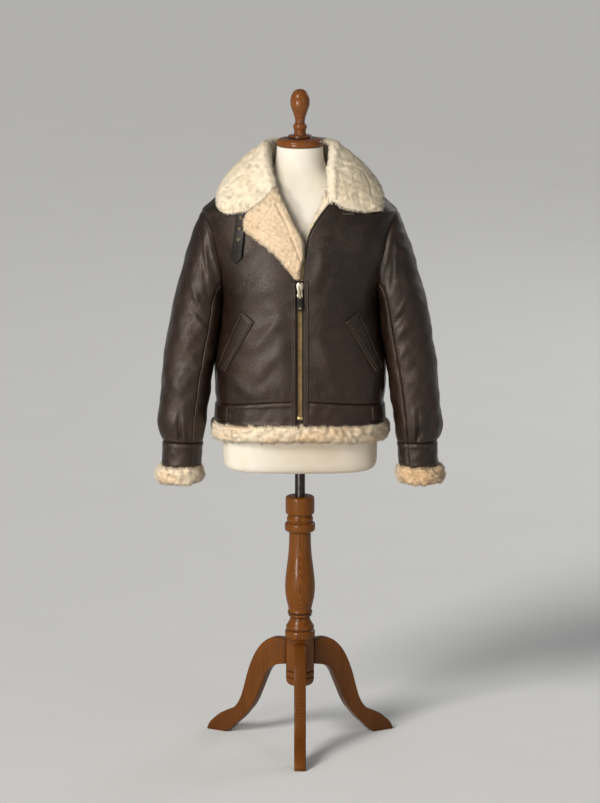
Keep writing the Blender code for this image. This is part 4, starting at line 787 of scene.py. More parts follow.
sleeveParts = {
    "upper": {"columns": (2 * (ringPoints // 3), ringPoints // 3 + ringPoints),
              "sewn": ("start", "end", "low", "high"), "flat": (0.270, 0.640), "area": 0.132},
    "under": {"columns": (ringPoints // 3, 2 * (ringPoints // 3)),
              "sewn": ("low", "high"), "flat": (0.145, 0.560), "area": 0.060},
}
for side, flip in flips.items():
    rings, normals, near = sleeveOutside(side)
    inner = rings - normals * sleeve["wall"]
    for part, cut in sleeveParts.items():
        columns = np.arange(cut["columns"][0], cut["columns"][1] + 1) % ringPoints
        name = f"sleeve_{part}_{side}"
        skin = rings[:, columns] * flip
        piece = wallBetween(name, skin, inner[:, columns] * flip, [brownLeather, creamWool])
        patches = np.clip(waves(rings[:, columns], 0.05, 31), 0, 1)
        addShare(piece, "wearAndShadeShare", ridges(near[:, columns], sleeve["worn"]) + sleeve["patches"] * patches)
        rideAs(piece, "form", name)
        sewnSleeves.append((skin, cut["sewn"], (sleeve["sewn"],), sleeve["free"]))
print("sleeves made")

band = {"columns": {"waistband_left": 60, "waistband_back": 120, "waistband_right": 60}, "rows": 20,
        "roll": (0.0018, 0.0040), "ridges": [(0.0020, 0.0065, 0.0032)], "worn": [(0.45, 0.006, 0.003)],
        "sewn": 0.0058, "free": 0.004}


def bandPanel(name, start, end):
    angles = np.linspace(start + 0.0008, end - 0.0008, band["columns"][name] + 1)
    low, high = bandLine("bandEnd", angles), bandLine("bandTop", angles) - coat["gap"] / 2
    levels = low + (high - low) * np.linspace(0, 1, band["rows"])[:, None]
    angles = np.broadcast_to(angles, levels.shape)
    plain = bodyPoint(angles, levels)
    out, near = seamRoll(plain, ("high", "low"), *band["roll"])
    outer = bodyPoint(angles, levels, out + ridges(near, band["ridges"]) + 0.0007 * waves(plain, 0.03, 41))
    sewnBody.append((outer, ("low", "high"), (band["sewn"],), band["free"]))
    piece = wallBetween(name, outer, bodyPoint(angles, levels, -coat["wall"]), [brownLeather, creamWool])
    patches = 0.15 * np.clip(waves(plain, 0.05, 42), 0, 1)
    addShare(piece, "wearAndShadeShare", ridges(near, band["worn"]) + patches)
    rideAs(piece, "form", name)


frontTurn = float(angleAt(coat["zipHalf"], 0.85))
bandPanel("waistband_left", frontTurn, quarter)
bandPanel("waistband_back", quarter, 3 * quarter)
bandPanel("waistband_right", 3 * quarter, 4 * quarter - frontTurn)

# rings of the cuffs: height, outer x, inner x, half depth
cuffRows = {
    "leather": [(0.7705, 0.3352, 0.2366, 0.0497), (0.7400, 0.3362, 0.2385, 0.0490),
                (0.7095, 0.3378, 0.2420, 0.0480)],
    "wool": [(0.7092, 0.3440, 0.2410, 0.0530), (0.7020, 0.3515, 0.2370, 0.0570),
             (0.6880, 0.3545, 0.2355, 0.0590), (0.6755, 0.3520, 0.2370, 0.0575),
             (0.6690, 0.3450, 0.2430, 0.0530)],
}
# the wool's inside is one width all the way down
cuffRows["hole"] = [(row[0], *cuffRows["wool"][2][1:]) for row in cuffRows["wool"]]
cuff = {
    "middleY": -0.022, "square": 2.3, "around": 120, "rows": 22, "deep": 0.061, "wall": 0.0058,
    "roll": [(0.0016, 0, 0.004), (-0.0010, 0.008, 0.005)], "worn": [(0.5, 0.006, 0.003)], "sewn": 0.0055,
    "seam": [(-0.0016, 0, 0.0024), (0.0006, 0.006, 0.003)],
}
cuffTurn = np.linspace(0, 2 * np.pi, cuff["around"], endpoint=False)


def cuffRings(kind, shares, inside):
    rows = np.array(cuffRows[kind])
    steps = np.linspace(0, 1, len(rows))
    rows = np.stack([smoothThrough(steps, rows[:, i])(shares) for i in range(4)], axis=-1)
    cosine, sine = np.cos(cuffTurn), np.sin(cuffTurn)
    grow = (np.abs(cosine) ** cuff["square"] + np.abs(sine) ** cuff["square"]) ** (-1 / cuff["square"])
    rings = []
    for (height, outerX, innerX, halfDepth), within in zip(rows, np.broadcast_to(inside, len(rows))):
        x = (outerX + innerX) / 2 + ((outerX - innerX) / 2 - within) * grow * cosine
        y = cuff["middleY"] - (halfDepth - within) * grow * sine
        tilt = 0.0015 * cosine * np.clip((height - 0.75) / 0.02, 0, 1)
        rings.append(np.stack([x, y, height + tilt], axis=-1))
    return np.array(rings)


for side, flip in flips.items():
    shares = np.linspace(0, 1, cuff["rows"])
    fromEdge = np.minimum(shares, 1 - shares) * cuff["deep"]
    rings = cuffRings("leather", shares, ridges(fromEdge, cuff["roll"]))
    fromSeam = np.min([np.abs(cuffTurn - where) for where in sleeve["seams"]], axis=0) * 0.050
    sunk = 0.0006 * waves(rings * flip, 0.03, 51) + ridges(fromSeam, cuff["seam"])
    skin = (rings + sleeveNormals(rings) * sunk[..., None]) * flip
    sewnSleeves.append((np.concatenate([skin, skin[:, :1]], axis=1), ("low", "high"), (cuff["sewn"],), 0.0))
    lining = cuffRings("leather", shares, cuff["wall"]) * flip
    piece = wallBetween(f"cuff_{side}", skin, lining, [brownLeather, creamWool], True)
    addShare(piece, "wearAndShadeShare", np.repeat(ridges(fromEdge, cuff["worn"]), cuff["around"]))
    rideAs(piece, "form", f"cuff_{side}")
print("bands made")

# wool: a soft base, and locks that stand on it
channels = [
    # partings in the wool, as seen from the front (x, z)
    [(-0.1010, 1.3140), (-0.0840, 1.3380), (-0.0640, 1.3690), (-0.0580, 1.3660), (-0.0400, 1.3350),
     (-0.0180, 1.2850), (0.0060, 1.2230)],
    [(0.1050, 1.4520), (0.1290, 1.4480), (0.1488, 1.4370), (0.1660, 1.4120), (0.1741, 1.3780)],
    [(-0.1350, 1.4300), (-0.1560, 1.4200), (-0.1690, 1.4050), (-0.1710, 1.3750)],
]
channelLook = {"width": 0.0015, "depth": 0.0030, "short": 0.85}


def channelShare(points):
    # 1 on a parting, 0 away from it
    near = np.full(points.shape[:-1], 1.0)
    flat = points[..., [0, 2]]
    for line in channels:
        for start, end in zip(np.array(line[:-1]), np.array(line[1:])):
            run = np.clip((flat - start) @ (end - start) / ((end - start) @ (end - start)), 0, 1)
            near = np.minimum(near, np.linalg.norm(flat - start - run[..., None] * (end - start), axis=-1))
    wide = channelLook["width"] * (1 + 0.35 * waves(points, 0.02, 61))
    return np.exp(-(near / wide) ** 2) * (points[..., 1] < 0.02)


def outwards(grid, outer, inner, around=False):
    normals = gridNormals(grid, around)
    rows, columns = np.array(outer.shape[:2]) // 2
    return normals if normals[rows, columns] @ (outer[rows, columns] - inner[rows, columns]) > 0 else -normals


def overEdges(outer, inner, sides, bulge=0.35):
    # the outside carried over the named edges towards the inside
    for side in sides:
        axis, last = (1, side == "end") if side in ("start", "end") else (0, side == "high")
        a, b = np.swapaxes(outer, 0, axis), np.swapaxes(inner, 0, axis)
        a, b = (a, b) if last else (a[::-1], b[::-1])
        away = unit(a[-1] - a[-2])
        thick = np.linalg.norm(a[-1] - b[-1], axis=-1, keepdims=True)
        extra = []
        for t in (0.25, 0.5, 0.75, 0.92):
            swell = thick * bulge * math.sin(math.pi * min(t + 0.1, 1))
            extra.append(a[-1] + (b[-1] - a[-1]) * t + away * swell)
        a, b = np.concatenate([a, extra]), np.concatenate([b, [b[-1]] * len(extra)])
        a, b = (a, b) if last else (a[::-1], b[::-1])
        outer, inner = np.swapaxes(a, 0, axis), np.swapaxes(b, 0, axis)
    return outer, inner


def softened(grid, normals, fur):
    # the uneven surface that the locks stand on, with its partings
    number, tuft = fur["seed"] + 20, fur["tuft"]
    lift = fur["soft"] * (0.6 * waves(grid, tuft, number) + 0.4 * waves(grid, tuft * 0.47, number + 1))
    return grid + normals * (lift - channelShare(grid) * channelLook["depth"])[..., None]


lockFaces = np.array([(0, 1, 3), (1, 2, 3), (2, 0, 3), (2, 1, 0)])     # three sides and a foot


def growLocks(name, grid, normals, fur, node, around):
    # tapered locks, spread evenly over the grid and leaning together in clumps
    pick = np.random.default_rng(fur["seed"])
    columns = np.arange(grid.shape[1] + 1) % grid.shape[1] if around else np.arange(grid.shape[1])
    grid, normals = grid[:, columns], normals[:, columns]
    borders = [grid[:1], grid[-1:]] + ([] if around else [grid[:, :1], grid[:, -1:]])
    near = np.min([np.linalg.norm(grid - border, axis=-1) for border in borders], axis=0)
    fringe = hump(near, 0, fur["fringe"])[..., None]
    across, down = np.diff(grid, axis=1)[:-1], np.diff(grid, axis=0)[:, :-1]
    areas = np.linalg.norm(np.cross(across, down), axis=-1)
    counts = np.floor(areas / fur["spacing"] ** 2 + pick.random(areas.shape)).astype(int)
    row, column = np.nonzero(counts)
    times = counts[row, column]
    row, column = np.repeat(row, times), np.repeat(column, times)
    u, v = pick.random((2, len(row), 1))

    def between(field):
        low = field[row, column] * (1 - u) + field[row, column + 1] * u
        high = field[row + 1, column] * (1 - u) + field[row + 1, column + 1] * u
        return low * (1 - v) + high * v

    root, normal, edge = between(grid), unit(between(normals)), between(fringe)
    count = len(root)
    clump = np.stack([waves(root, fur["clump"], fur["seed"] + k, 7) for k in (1, 2, 3)], axis=-1)
    fine = np.stack([waves(root, fur["clump"] * 0.4, fur["seed"] + k, 7) for k in (4, 5, 6)], axis=-1)
    lean = 0.85 * clump + 0.50 * fine + 0.30 * pick.normal(size=(count, 3)) + np.array(fur["lay"])
    lean -= normal * np.sum(lean * normal, axis=-1, keepdims=True)
    parted = channelShare(root)[:, None]
    long = fur["length"] * pick.uniform(0.72, 1.25, (count, 1)) * (1 - channelLook["short"] * parted)
    long = long * (1 + 0.16 * waves(root, 0.03, fur["seed"] + 8)[:, None])
    long = long * (1 + fur["fluff"] * edge)
    lean = lean * (1 + 2 * fur["fluff"] * edge)
    side = unit(np.cross(normal, pick.normal(size=(count, 3))))
    other = np.cross(normal, side)
    tip = root + normal * long * 0.80 + lean * long * fur["lean"]
    thick = fur["thick"] * pick.uniform(0.8, 1.25, (count, 1))
    foot = root - normal * 0.0008      # its three corners stand a little inside the base
    corners = [foot + (side * math.cos(k * third) + other * math.sin(k * third)) * thick for k in range(3)]
    points = np.stack(corners + [tip], axis=1)
    shown = unit(normal[:, None] * fur["calm"] + unit(points - root[:, None] + normal[:, None] * 0.001))
    tone = np.clip(0.5 + 0.3 * waves(root, 0.02, fur["seed"] + 9) + 0.22 * pick.normal(size=count), 0, 1)
    # lower at the partings, so they take the deep colour: painted shade
    share = np.array([0.25, 0.25, 0.25, 1.0])[None] * (1 - 0.5 * parted)
    parts = np.array_split(np.argsort(root[:, 0]), int(np.ceil(count * 4 / fur["most"])))
    pieces = []
    for number, part in enumerate(parts):
        faces = 4 * np.arange(len(part))[:, None, None] + lockFaces
        title = name if len(parts) == 1 else f"{name}_{number + 1}"
        piece = meshPiece(title, placed(points[part]), [faces.reshape(-1, 3)], [fur["material"]])
        addShare(piece, "tipShare", share[part])
        addShare(piece, "lockTone", np.repeat(tone[part], 4))
        piece.data.normals_split_custom_set_from_vertices(shown[part].reshape(-1, 3).tolist())
        pieces.append(rideAs(piece, "form", node))
    return pieces


def woolPiece(name, outer, inner, fur, sheet, edges, around=False, inside=None):
    # the base set back by the pile's length, its locks, and the piece's cut
    for axis, ends in ((0, ("low", "high")), (1, ("start", "end"))):
        trim = [fur["trim"] * (end in edges) for end in ends]
        if any(trim):
            outer = finer(outer, outer.shape[axis], axis, trim)
            inner = finer(inner, inner.shape[axis], axis, trim)
    normals = outwards(outer, outer, inner, around)
    back = np.minimum(np.linalg.norm(outer - inner, axis=-1) * 0.5, fur["pile"])
    base = softened(outer - normals * back[..., None], normals, fur)
    piece = wallBetween(name, base, inner, [fur["material"], inside or fur["material"]], around)
    parted = channelShare(base).reshape(-1)
    # the partings take the deep colour: painted shade
    addShare(piece, "tipShare", 0.50 - 0.50 * np.concatenate([parted, parted]))
    addShare(piece, "lockTone", 0.5)
    rideAs(piece, "form", name)
    wide, deep = overEdges(base, inner, edges)
    away = outwards(wide, wide, deep, around)
    locks = growLocks(f"{name}_locks", wide, away, fur, name, around)


# in metres; lay is the way the wool is combed, and most is how many corners one piece of locks may have
creamFur = {
    "spacing": 0.00160, "length": 0.0040, "thick": 0.00070, "clump": 0.011, "lean": 0.26,
    "lay": (0, 0, -0.25), "pile": 0.0026, "soft": 0.0009, "tuft": 0.016, "calm": 4.5, "trim": 0.0022,
    "fringe": 0.015, "fluff": 0.40, "most": 190000, "seed": 100, "material": creamWool,
}
turnedFur = dict(creamFur, spacing=0.00175, clump=0.016, lean=0.50, lay=(0, 0, -0.35), soft=0.0019, calm=2.6,
                 fluff=0.0, material=sandWool)

# angle, seam height, then the stand's top, a guide for the fall, the outer edge; the back's middle first
collarStations = [
    (180, 1.4480, 0.000, 0.086, 1.4850, 0.000, 0.106, 1.462, 0.000, 0.124, 1.372),
    (150, 1.4465, 0.043, 0.074, 1.4850, 0.058, 0.094, 1.462, 0.084, 0.116, 1.372),
    (120, 1.4425, 0.070, 0.043, 1.4850, 0.097, 0.064, 1.458, 0.140, 0.081, 1.378),
    (92, 1.4360, 0.081, 0.004, 1.4830, 0.127, 0.012, 1.465, 0.184, 0.022, 1.390),
    (70, 1.4260, 0.080, -0.028, 1.4640, 0.137, -0.026, 1.452, 0.195, -0.020, 1.374),
    (52, 1.4130, 0.075, -0.056, 1.4370, 0.128, -0.064, 1.418, 0.197, -0.058, 1.352),
]
collarFronts = {
    "right": [(35, 1.3900, 0.059, -0.088, 1.3960, 0.097, -0.108, 1.3230, 0.184, -0.087, 1.3380)],
    "left": [(43, 1.3925, 0.076, -0.079, 1.4080, 0.122, -0.086, 1.3850, 0.197, -0.074, 1.3440),
             (37, 1.3590, 0.076, -0.103, 1.3645, 0.106, -0.108, 1.3370, 0.186, -0.088, 1.3430)],
}
collar = {
    "half": 78, "across": 52, "wall": 0.0125, "clear": 0.0045, "fall": 0.009, "easing": 4, "endRows": 8,
    "turn": [(0.0015, 0.0032), (0.0045, 0.0048), (0.0078, 0.0030)],
    "thin": [0.90, 1, 1, 1, 1, 1, 1, 1, 1, 1, 1, 0.93, 0.55],
}


def keptClear(points, least):
    # points of the collar that are under its seam, moved out until they clear the coat
    angle = np.arctan2(points[..., 0], -points[..., 1])
    top = coat["neckSide"] - 0.002
    height = np.minimum(points[..., 2], top)
    surface, normal = bodyPoint(angle, height), bodyNormal(angle, height)
    level = np.stack([points[..., 0], points[..., 1], height], axis=-1)
    outside = np.sum((level - surface) * normal, axis=-1)
    return points + normal * (np.clip(least - outside, 0, None) * (points[..., 2] < top))[..., None]


def collarHalf(side):
    flip = flips[side]
    table = np.array(collarStations + collarFronts[side])
    rows = smoothThrough(np.linspace(0, 1, len(table)), table)(np.linspace(0, 1, collar["half"] + 1))
    half = []
    for row in rows:
        seam = bodyPoint(math.radians(row[0]) * flip[0], min(row[1], coat["neckBack"])) * flip
        seam[2] = row[1] + 0.0012
        top, fall, edge = row[2:5], row[5:8], row[8:11]
        outward = unit((fall - top) * np.array([1, 1, 0]))
        line = [seam, (seam + top) / 2, top]
        line += [top + outward * across + np.array([0, 0, up]) for across, up in collar["turn"]]
        start = top + outward * collar["fall"]
        for t in np.linspace(0.04, 1, 7):
            line.append(start * (1 - t) ** 2 + fall * 2 * t * (1 - t) + edge * t * t)
        half.append(line)
    half = np.array(half)
    if side == "right":
        half = half * flip
    half[:, 6:] = keptClear(half[:, 6:], collar["clear"])
    return half


spine = np.concatenate([collarHalf("right")[1:][::-1], collarHalf("left")])
thin = smoothThrough(np.arange(13), collar["thin"])(np.linspace(0, 12, collar["across"]))
spine = finer(spine, collar["across"], 1)
collarNormals = gridNormals(spine)
middleRow = len(spine) // 2
if collarNormals[middleRow, -8] @ (spine[middleRow, -8] - spine[middleRow, 0]) < 0:
    collarNormals = -collarNormals
for _ in range(collar["easing"]):
    eased = collarNormals.copy()
    eased[:, 1:-1] = (collarNormals[:, :-2] + 2 * collarNormals[:, 1:-1] + collarNormals[:, 2:]) / 4
    eased[1:-1] = (eased[:-2] + 2 * eased[1:-1] + eased[2:]) / 4
    collarNormals = unit(eased)
fromEnd = np.minimum(np.arange(len(spine)), np.arange(len(spine))[::-1]) / collar["endRows"]
endShare = 0.60 + 0.40 * np.sin(np.clip(fromEnd, 0, 1) * quarter)
collarOut = spine + collarNormals * (collar["wall"] * endShare[:, None] * thin[None])[..., None]
woolPiece("collar", collarOut, spine, dict(creamFur, seed=200),
          {"flat": (0.74, 0.150), "on": ["back"], "area": 0.105}, ("end", "low", "high"), inside=brownLeather)
print("collar made")

# the lapel's rows: roll line x, z, edge x, z; then across it: share of the way, past it, and out, twice
lapelRows = np.array([
    (-0.0056, 1.1880, -0.0120, 1.1890), (-0.0040, 1.2050, -0.0250, 1.2060),
    (-0.0012, 1.2250, -0.0500, 1.2350), (0.0022, 1.2480, -0.0810, 1.2620),
    (0.0020, 1.2700, -0.1105, 1.2830), (-0.0065, 1.2930, -0.1310, 1.3000),
    (-0.0190, 1.3160, -0.1368, 1.3175), (-0.0310, 1.3390, -0.1290, 1.3370),
    (-0.0400, 1.3570, -0.1060, 1.3565), (-0.0480, 1.3720, -0.0830, 1.3735),
    (-0.0540, 1.3850, -0.0720, 1.3895), (-0.0585, 1.3960, -0.0690, 1.3980),
])
lapelAcross = np.array([
    (1.00, 0.0000, 0.0080, 0.99, 0.0000, 0.0045), (0.93, 0.0000, 0.0130, 0.93, 0.0000, 0.0036),
    (0.70, 0.0000, 0.0160, 0.70, 0.0000, 0.0032), (0.38, 0.0000, 0.0165, 0.38, 0.0000, 0.0014),
    (0.08, 0.0000, 0.0160, 0.08, 0.0000, 0.0008), (0.00, 0.0045, 0.0130, 0.00, 0.0013, 0.0005),
    (0.00, 0.0082, 0.0050, 0.00, 0.0016, -0.0020), (0.00, 0.0080, -0.0040, 0.00, 0.0019, -0.0050),
    (0.00, 0.0050, -0.0095, 0.00, 0.0024, -0.0082),
])
lapel = {"rows": 84, "columns": 46, "towards": np.array([0.963, 0.270]), "lift": 0.0012}
rows = finer(lapelRows[:, None, :], lapel["rows"])[:, 0]
roll, edge = rows[:, None, :2], rows[:, None, 2:]
size = np.minimum(1.0, 0.45 + np.linalg.norm(edge - roll, axis=-1) / 0.05)
lapelSheets = []
for share, past, out in (lapelAcross[:, 0:3].T, lapelAcross[:, 3:6].T):
    place = roll + (edge - roll) * share[None, :, None] + lapel["towards"] * past[None, :, None]
    lift = np.where((out > 0) & (out[0] > 0.006), out * size, out) + lapel["lift"]
    lapelSheets.append(finer(frontPoint(place[..., 0], place[..., 1], lift), lapel["columns"], 1))
woolPiece("lapel_right", *lapelSheets, dict(creamFur, seed=300, lay=(-0.25, 0, -0.3), material=goldWool),
          {"flat": (0.215, 0.150), "on": ["front_right"], "area": 0.022}, ("start", "low", "high"),
          inside=brownLeather)

# the facing: height and width; then across it: share of the width, how deep its face and its back lie
facingRows = np.array([(1.2460, 0.0028), (1.2780, 0.0048), (1.3020, 0.0085), (1.3200, 0.0130),
                       (1.3400, 0.0180), (1.3560, 0.0225), (1.3680, 0.0270), (1.3800, 0.0240),
                       (1.3920, 0.0205), (1.4030, 0.0175)])
facingAcross = [(0.0, -0.0048, -0.0125), (0.35, -0.0040, -0.0140), (0.75, -0.0060, -0.0155),
                (1.0, -0.0090, -0.0145)]
facing = {"rows": 60, "columns": 14}
rows = finer(facingRows[:, None, :], facing["rows"])[:, 0]
edgeX = frontEdgeAt["left"](rows[:, 0]) - 0.0006
facingSheets = []
for which in (1, 2):
    lines = [frontPoint(edgeX - rows[:, 1] * step[0], rows[:, 0], step[which]) for step in facingAcross]
    facingSheets.append(finer(np.array(lines).transpose(1, 0, 2), facing["columns"], 1))
woolPiece("facing_left", *facingSheets, dict(creamFur, seed=350, length=0.0034, pile=0.0020, trim=0.0016),
          {"flat": (0.036, 0.170), "on": ["front_left"], "area": 0.0033}, ("end", "low", "high"))

hem = {
    "share": [0.0, 0.13, 0.5, 0.85, 1.0], "out": [0.004, 0.009, 0.0115, 0.009, 0.002],
    "in": [-0.0085, -0.0115, -0.0125, -0.0115, -0.006], "height": 0.04116, "gap": 0.0012,
    "rows": 22, "columns": 180,
}
hemSheet = {"flat": (0.560, 0.062), "on": ["back"], "area": 0.0315}
share = np.linspace(0, 1, hem["rows"])
for name, start, number in (("hem_fur_left", 0.0, 400), ("hem_fur_right", np.pi, 450)):
    angles = np.linspace(start + hem["gap"], start + np.pi - hem["gap"], hem["columns"])
    levels = bandLine("bandEnd", angles) + 0.0035 - hem["height"] * share[:, None]
    angles = np.broadcast_to(angles, levels.shape)
    sheets = []
    for which in ("out", "in"):
        out = smoothThrough(hem["share"], hem[which])(share)[:, None]
        sheets.append(bodyPoint(angles, levels, out))
    fur = dict(turnedFur, seed=number, length=0.0064, tuft=0.026)
    woolPiece(name, *sheets, fur, hemSheet, ("high", "low"))

cuffFur = {"rows": 24, "wall": 0.0175, "seed": {"left": 500, "right": 550}}
for side, flip in flips.items():
    shares = np.linspace(0, 1, cuffFur["rows"])
    outer = cuffRings("wool", shares, 0.0) * flip
    inner = cuffRings("hole", shares, cuffFur["wall"]) * flip
    fur = dict(turnedFur, seed=cuffFur["seed"][side], length=0.0062, tuft=0.024)
    sheet = {"flat": (0.330, 0.085), "on": [f"cuff_{side}"], "area": 0.0165}
    woolPiece(f"cuff_fur_{side}", outer, inner, fur, sheet, ("high", "low"), around=True)
print("wool made")


def crowned(near, round, flat=0.5):
    # a cut edge's rounding: flat at the edge itself, 1 from this distance on
    return flat + (1 - flat) * np.sin(np.clip(near / round, 0, 1) * quarter)


# straps, welts and plackets: thin leather laid on the coat, with a groove along its stitching
def laidStrip(name, left, right, strip, material=brownLeather, node=None):
    left, right = (finer(np.array(line)[:, None], strip["rows"])[:, 0] for line in (left, right))
    share = np.linspace(0, 1, strip["columns"])[:, None, None]
    line = (left + (right - left) * share).transpose(1, 0, 2)
    far = np.linalg.norm(right - left, axis=-1)[:, None] * np.minimum(share, 1 - share)[:, 0, 0][None]
    along = np.concatenate([[0], np.cumsum(np.linalg.norm(np.diff((left + right) / 2, axis=0), axis=-1))])
    near = np.minimum(far, np.minimum(along, along[-1] - along)[:, None])
    crown = strip["thick"] * crowned(near, strip["round"], 0.55) + ridges(near, strip.get("groove", []))
    outer = frontPoint(line[..., 0], line[..., 1], strip["over"] + crown)
    inner = frontPoint(line[..., 0], line[..., 1], strip["over"] - strip["under"])
    piece = wallBetween(name, outer, inner, [material, material])
    addShare(piece, "wearAndShadeShare", 0.75 * hump(near, 0.0012, 0.0012))
    rideAs(piece, "form", node or name)
    if "sewn" in strip:
        sewnTrims.append((outer, strip["sides"], strip["sewn"], strip["sewn"][0]))
    return piece


placket = {
    "rows": 100, "columns": 18, "thick": 0.0036, "under": 0.0015, "over": 0.0002, "round": 0.0026,
    "groove": [(-0.0012, 0.0032, 0.0016)], "sewn": (0.0026,),
    "sides": ("start", "end"), "edges": (0.0105, 0.0205),
}
placketHeights = np.linspace(0.8280, 1.1830, 40)
for side, mirror in (("right", -1), ("left", 1)):
    lines = [[(x, z) for z in placketHeights] for x in sorted(mirror * edge for edge in placket["edges"])]
    piece = laidStrip(f"placket_{side}", *lines, placket)

welt = {
    "rows": 64, "columns": 30, "thick": 0.0058, "under": 0.0015, "over": 0.0002, "round": 0.0034,
    "groove": [(-0.0018, 0.0048, 0.0016)], "sewn": (0.0036, 0.0062), "sides": ("start", "end", "low", "high"),
    "top": ((-0.141, 1.1051), (-0.109, 1.0817)), "end": ((-0.1975, 0.9601), (-0.1800, 0.9509)),
}
for side, mirror in (("right", 1), ("left", -1)):
    lines = []
    for top, end in zip(np.array(welt["top"]), np.array(welt["end"])):
        lines.append((top + (end - top) * np.linspace(0, 1, 7)[:, None]) * np.array([mirror, 1]))
    piece = laidStrip(f"pocket_welt_{side}", *lines[::mirror], welt)

# the straps over the waistband's side seams; start and long in degrees round the body
tab = {
    "start": {"left": 64, "right": 242}, "long": 54, "wide": 0.0340, "down": 0.0395, "thick": 0.0030,
    "under": 0.0012, "groove": [(-0.0006, 0.0035, 0.0016)], "worn": [(0.35, 0, 0.0014)], "sewn": 0.0036,
    "rows": 18, "columns": 90,
}
for side in ("left", "right"):
    start = tab["start"][side]
    angles = np.radians(np.linspace(start, start + tab["long"], tab["columns"]))
    share = np.linspace(0, 1, tab["rows"])
    levels = bandLine("bandTop", angles) - (tab["down"] - tab["wide"] * share)[:, None]
    angles = np.broadcast_to(angles, levels.shape)
    fromEnd = np.minimum(np.linspace(0, 1, tab["columns"]), np.linspace(1, 0, tab["columns"]))
    along = np.radians(tab["long"]) * 0.2 * fromEnd     # the body is about 0.2 m from its axis here
    near = np.minimum(tab["wide"] * np.minimum(share, 1 - share)[:, None], along[None])
    lift = tab["thick"] * crowned(near, 0.002) + 0.0010 + ridges(near, tab["groove"])
    skin, under = bodyPoint(angles, levels, lift), bodyPoint(angles, levels, 0.0002 - tab["under"])
    sewnTrims.append((skin, ("start", "end", "low", "high"), (tab["sewn"],), tab["sewn"]))
    piece = wallBetween(f"waist_tab_{side}", skin, under, [brownLeather, brownLeather])
    addShare(piece, "wearAndShadeShare", ridges(near, tab["worn"]))
    rideAs(piece, "form", f"waist_tab_{side}")

# the throat strap's middle line: x, z, how far it hangs off the coat, and a width that spaces its rows
strapLine = [
    (-0.1395, 1.3500, 0.0006, 0.0112), (-0.1405, 1.3320, 0.0006, 0.0116), (-0.1430, 1.3080, 0.0007, 0.0120),
    (-0.1450, 1.2800, 0.0030, 0.0122), (-0.1465, 1.2550, 0.0055, 0.0124), (-0.1472, 1.2360, 0.0070, 0.0124),
    (-0.1475, 1.2225, 0.0078, 0.0012),
]
strap = {
    "half": 0.0122, "point": (1.2215, 0.0150), "slant": 0.10, "lift": 0.0016, "thick": 0.0026,
    "groove": [(-0.0004, 0.0030, 0.001)], "eyelets": [1.3290, 1.3040, 1.2790], "sewn": 0.0030, "bare": 12,
    "rows": 90, "columns": 16,
}
strapRows = finer(np.array(strapLine)[:, None, :], strap["rows"])[:, 0]
point, pointLong = strap["point"]
narrowing = np.clip((strapRows[:, 1] - point) / pointLong, 0.02, 1)
halfWide = np.where(strapRows[:, 1] > point + pointLong, strap["half"], strap["half"] * narrowing)[:, None]
side = np.linspace(-1, 1, strap["columns"])
strapX = strapRows[:, 0, None] + halfWide * side
strapZ = strapRows[:, 1, None] + strap["slant"] * halfWide * side
near = halfWide * (1 - np.abs(side))
crown = strap["thick"] * crowned(near, 0.0018) + ridges(near, strap["groove"])
lift = strapRows[:, 2, None] + strap["lift"]
strapSkin = frontPoint(strapX, strapZ, lift + crown)
sewnTrims.append((strapSkin[:-strap["bare"]], ("start", "end"), (strap["sewn"],), strap["sewn"]))
piece = wallBetween("throat_strap", strapSkin, frontPoint(strapX, strapZ, lift), [blackLeather, blackLeather])
addShare(piece, "wearAndShadeShare", hump(near, 0, 0.0012))
rideAs(piece, "form", "throat_strap")
print("leather trims made")


# hard pieces, drawn and shaped in edit mode
def editAll():
    bpy.ops.object.mode_set(mode="EDIT")
    bpy.ops.mesh.select_all(action="SELECT")


def drawn(path):
    # a point drawn along this path, still in edit mode with all of it selected
    letGo()
    bpy.ops.mesh.primitive_plane_add(size=0.01, location=(0, 0, 0))
    editAll()
    bpy.ops.mesh.merge(type="CENTER")
    bpy.ops.transform.translate(value=path[0])
    for step in np.diff(np.array(path), axis=0):
        bpy.ops.mesh.extrude_vertices_move(TRANSFORM_OT_translate={"value": step})
    bpy.ops.mesh.select_all(action="SELECT")


def sawn(outline, thick):
    # a flat outline of corners, filled and given this thickness
    drawn(outline)
    bpy.ops.mesh.edge_face_add()
    bpy.ops.mesh.extrude_region_move(TRANSFORM_OT_translate={"value": thick})
    bpy.ops.mesh.select_all(action="SELECT")
    bpy.ops.mesh.normals_make_consistent(inside=False)
    bpy.ops.object.mode_set(mode="OBJECT")
    return bpy.context.object


def softEdges(thing, width, segments=2, angle=50):
    limit = math.radians(angle)
    addModifier(thing, "BEVEL", width=width, segments=segments, limit_method="ANGLE", angle_limit=limit)
    applyAll(thing)
    return thing


def settled():
    bpy.ops.object.transform_apply(location=True, rotation=True, scale=True)
    return bpy.context.object


def fresh(name, material, node, body="form", angle=35):
    piece = bpy.context.object
    piece.name = piece.data.name = name
    piece.data.materials.clear()
    piece.data.materials.append(material)
    hold(piece)
    settled()
    bpy.ops.object.shade_smooth_by_angle(angle=math.radians(angle))
    return rideAs(piece, body, node)


def rounded(profile, count=3):
    # a listed profile with its curves filled in between the given points
    profile = np.array(profile, float)
    share = np.arange(len(profile))
    return smoothThrough(share, profile)(np.linspace(0, share[-1], (len(profile) - 1) * count + 1))


lathe = {"steps": 52, "merge": 0.00004, "sample": 0.0005, "window": 21, "groove": 0.0020}


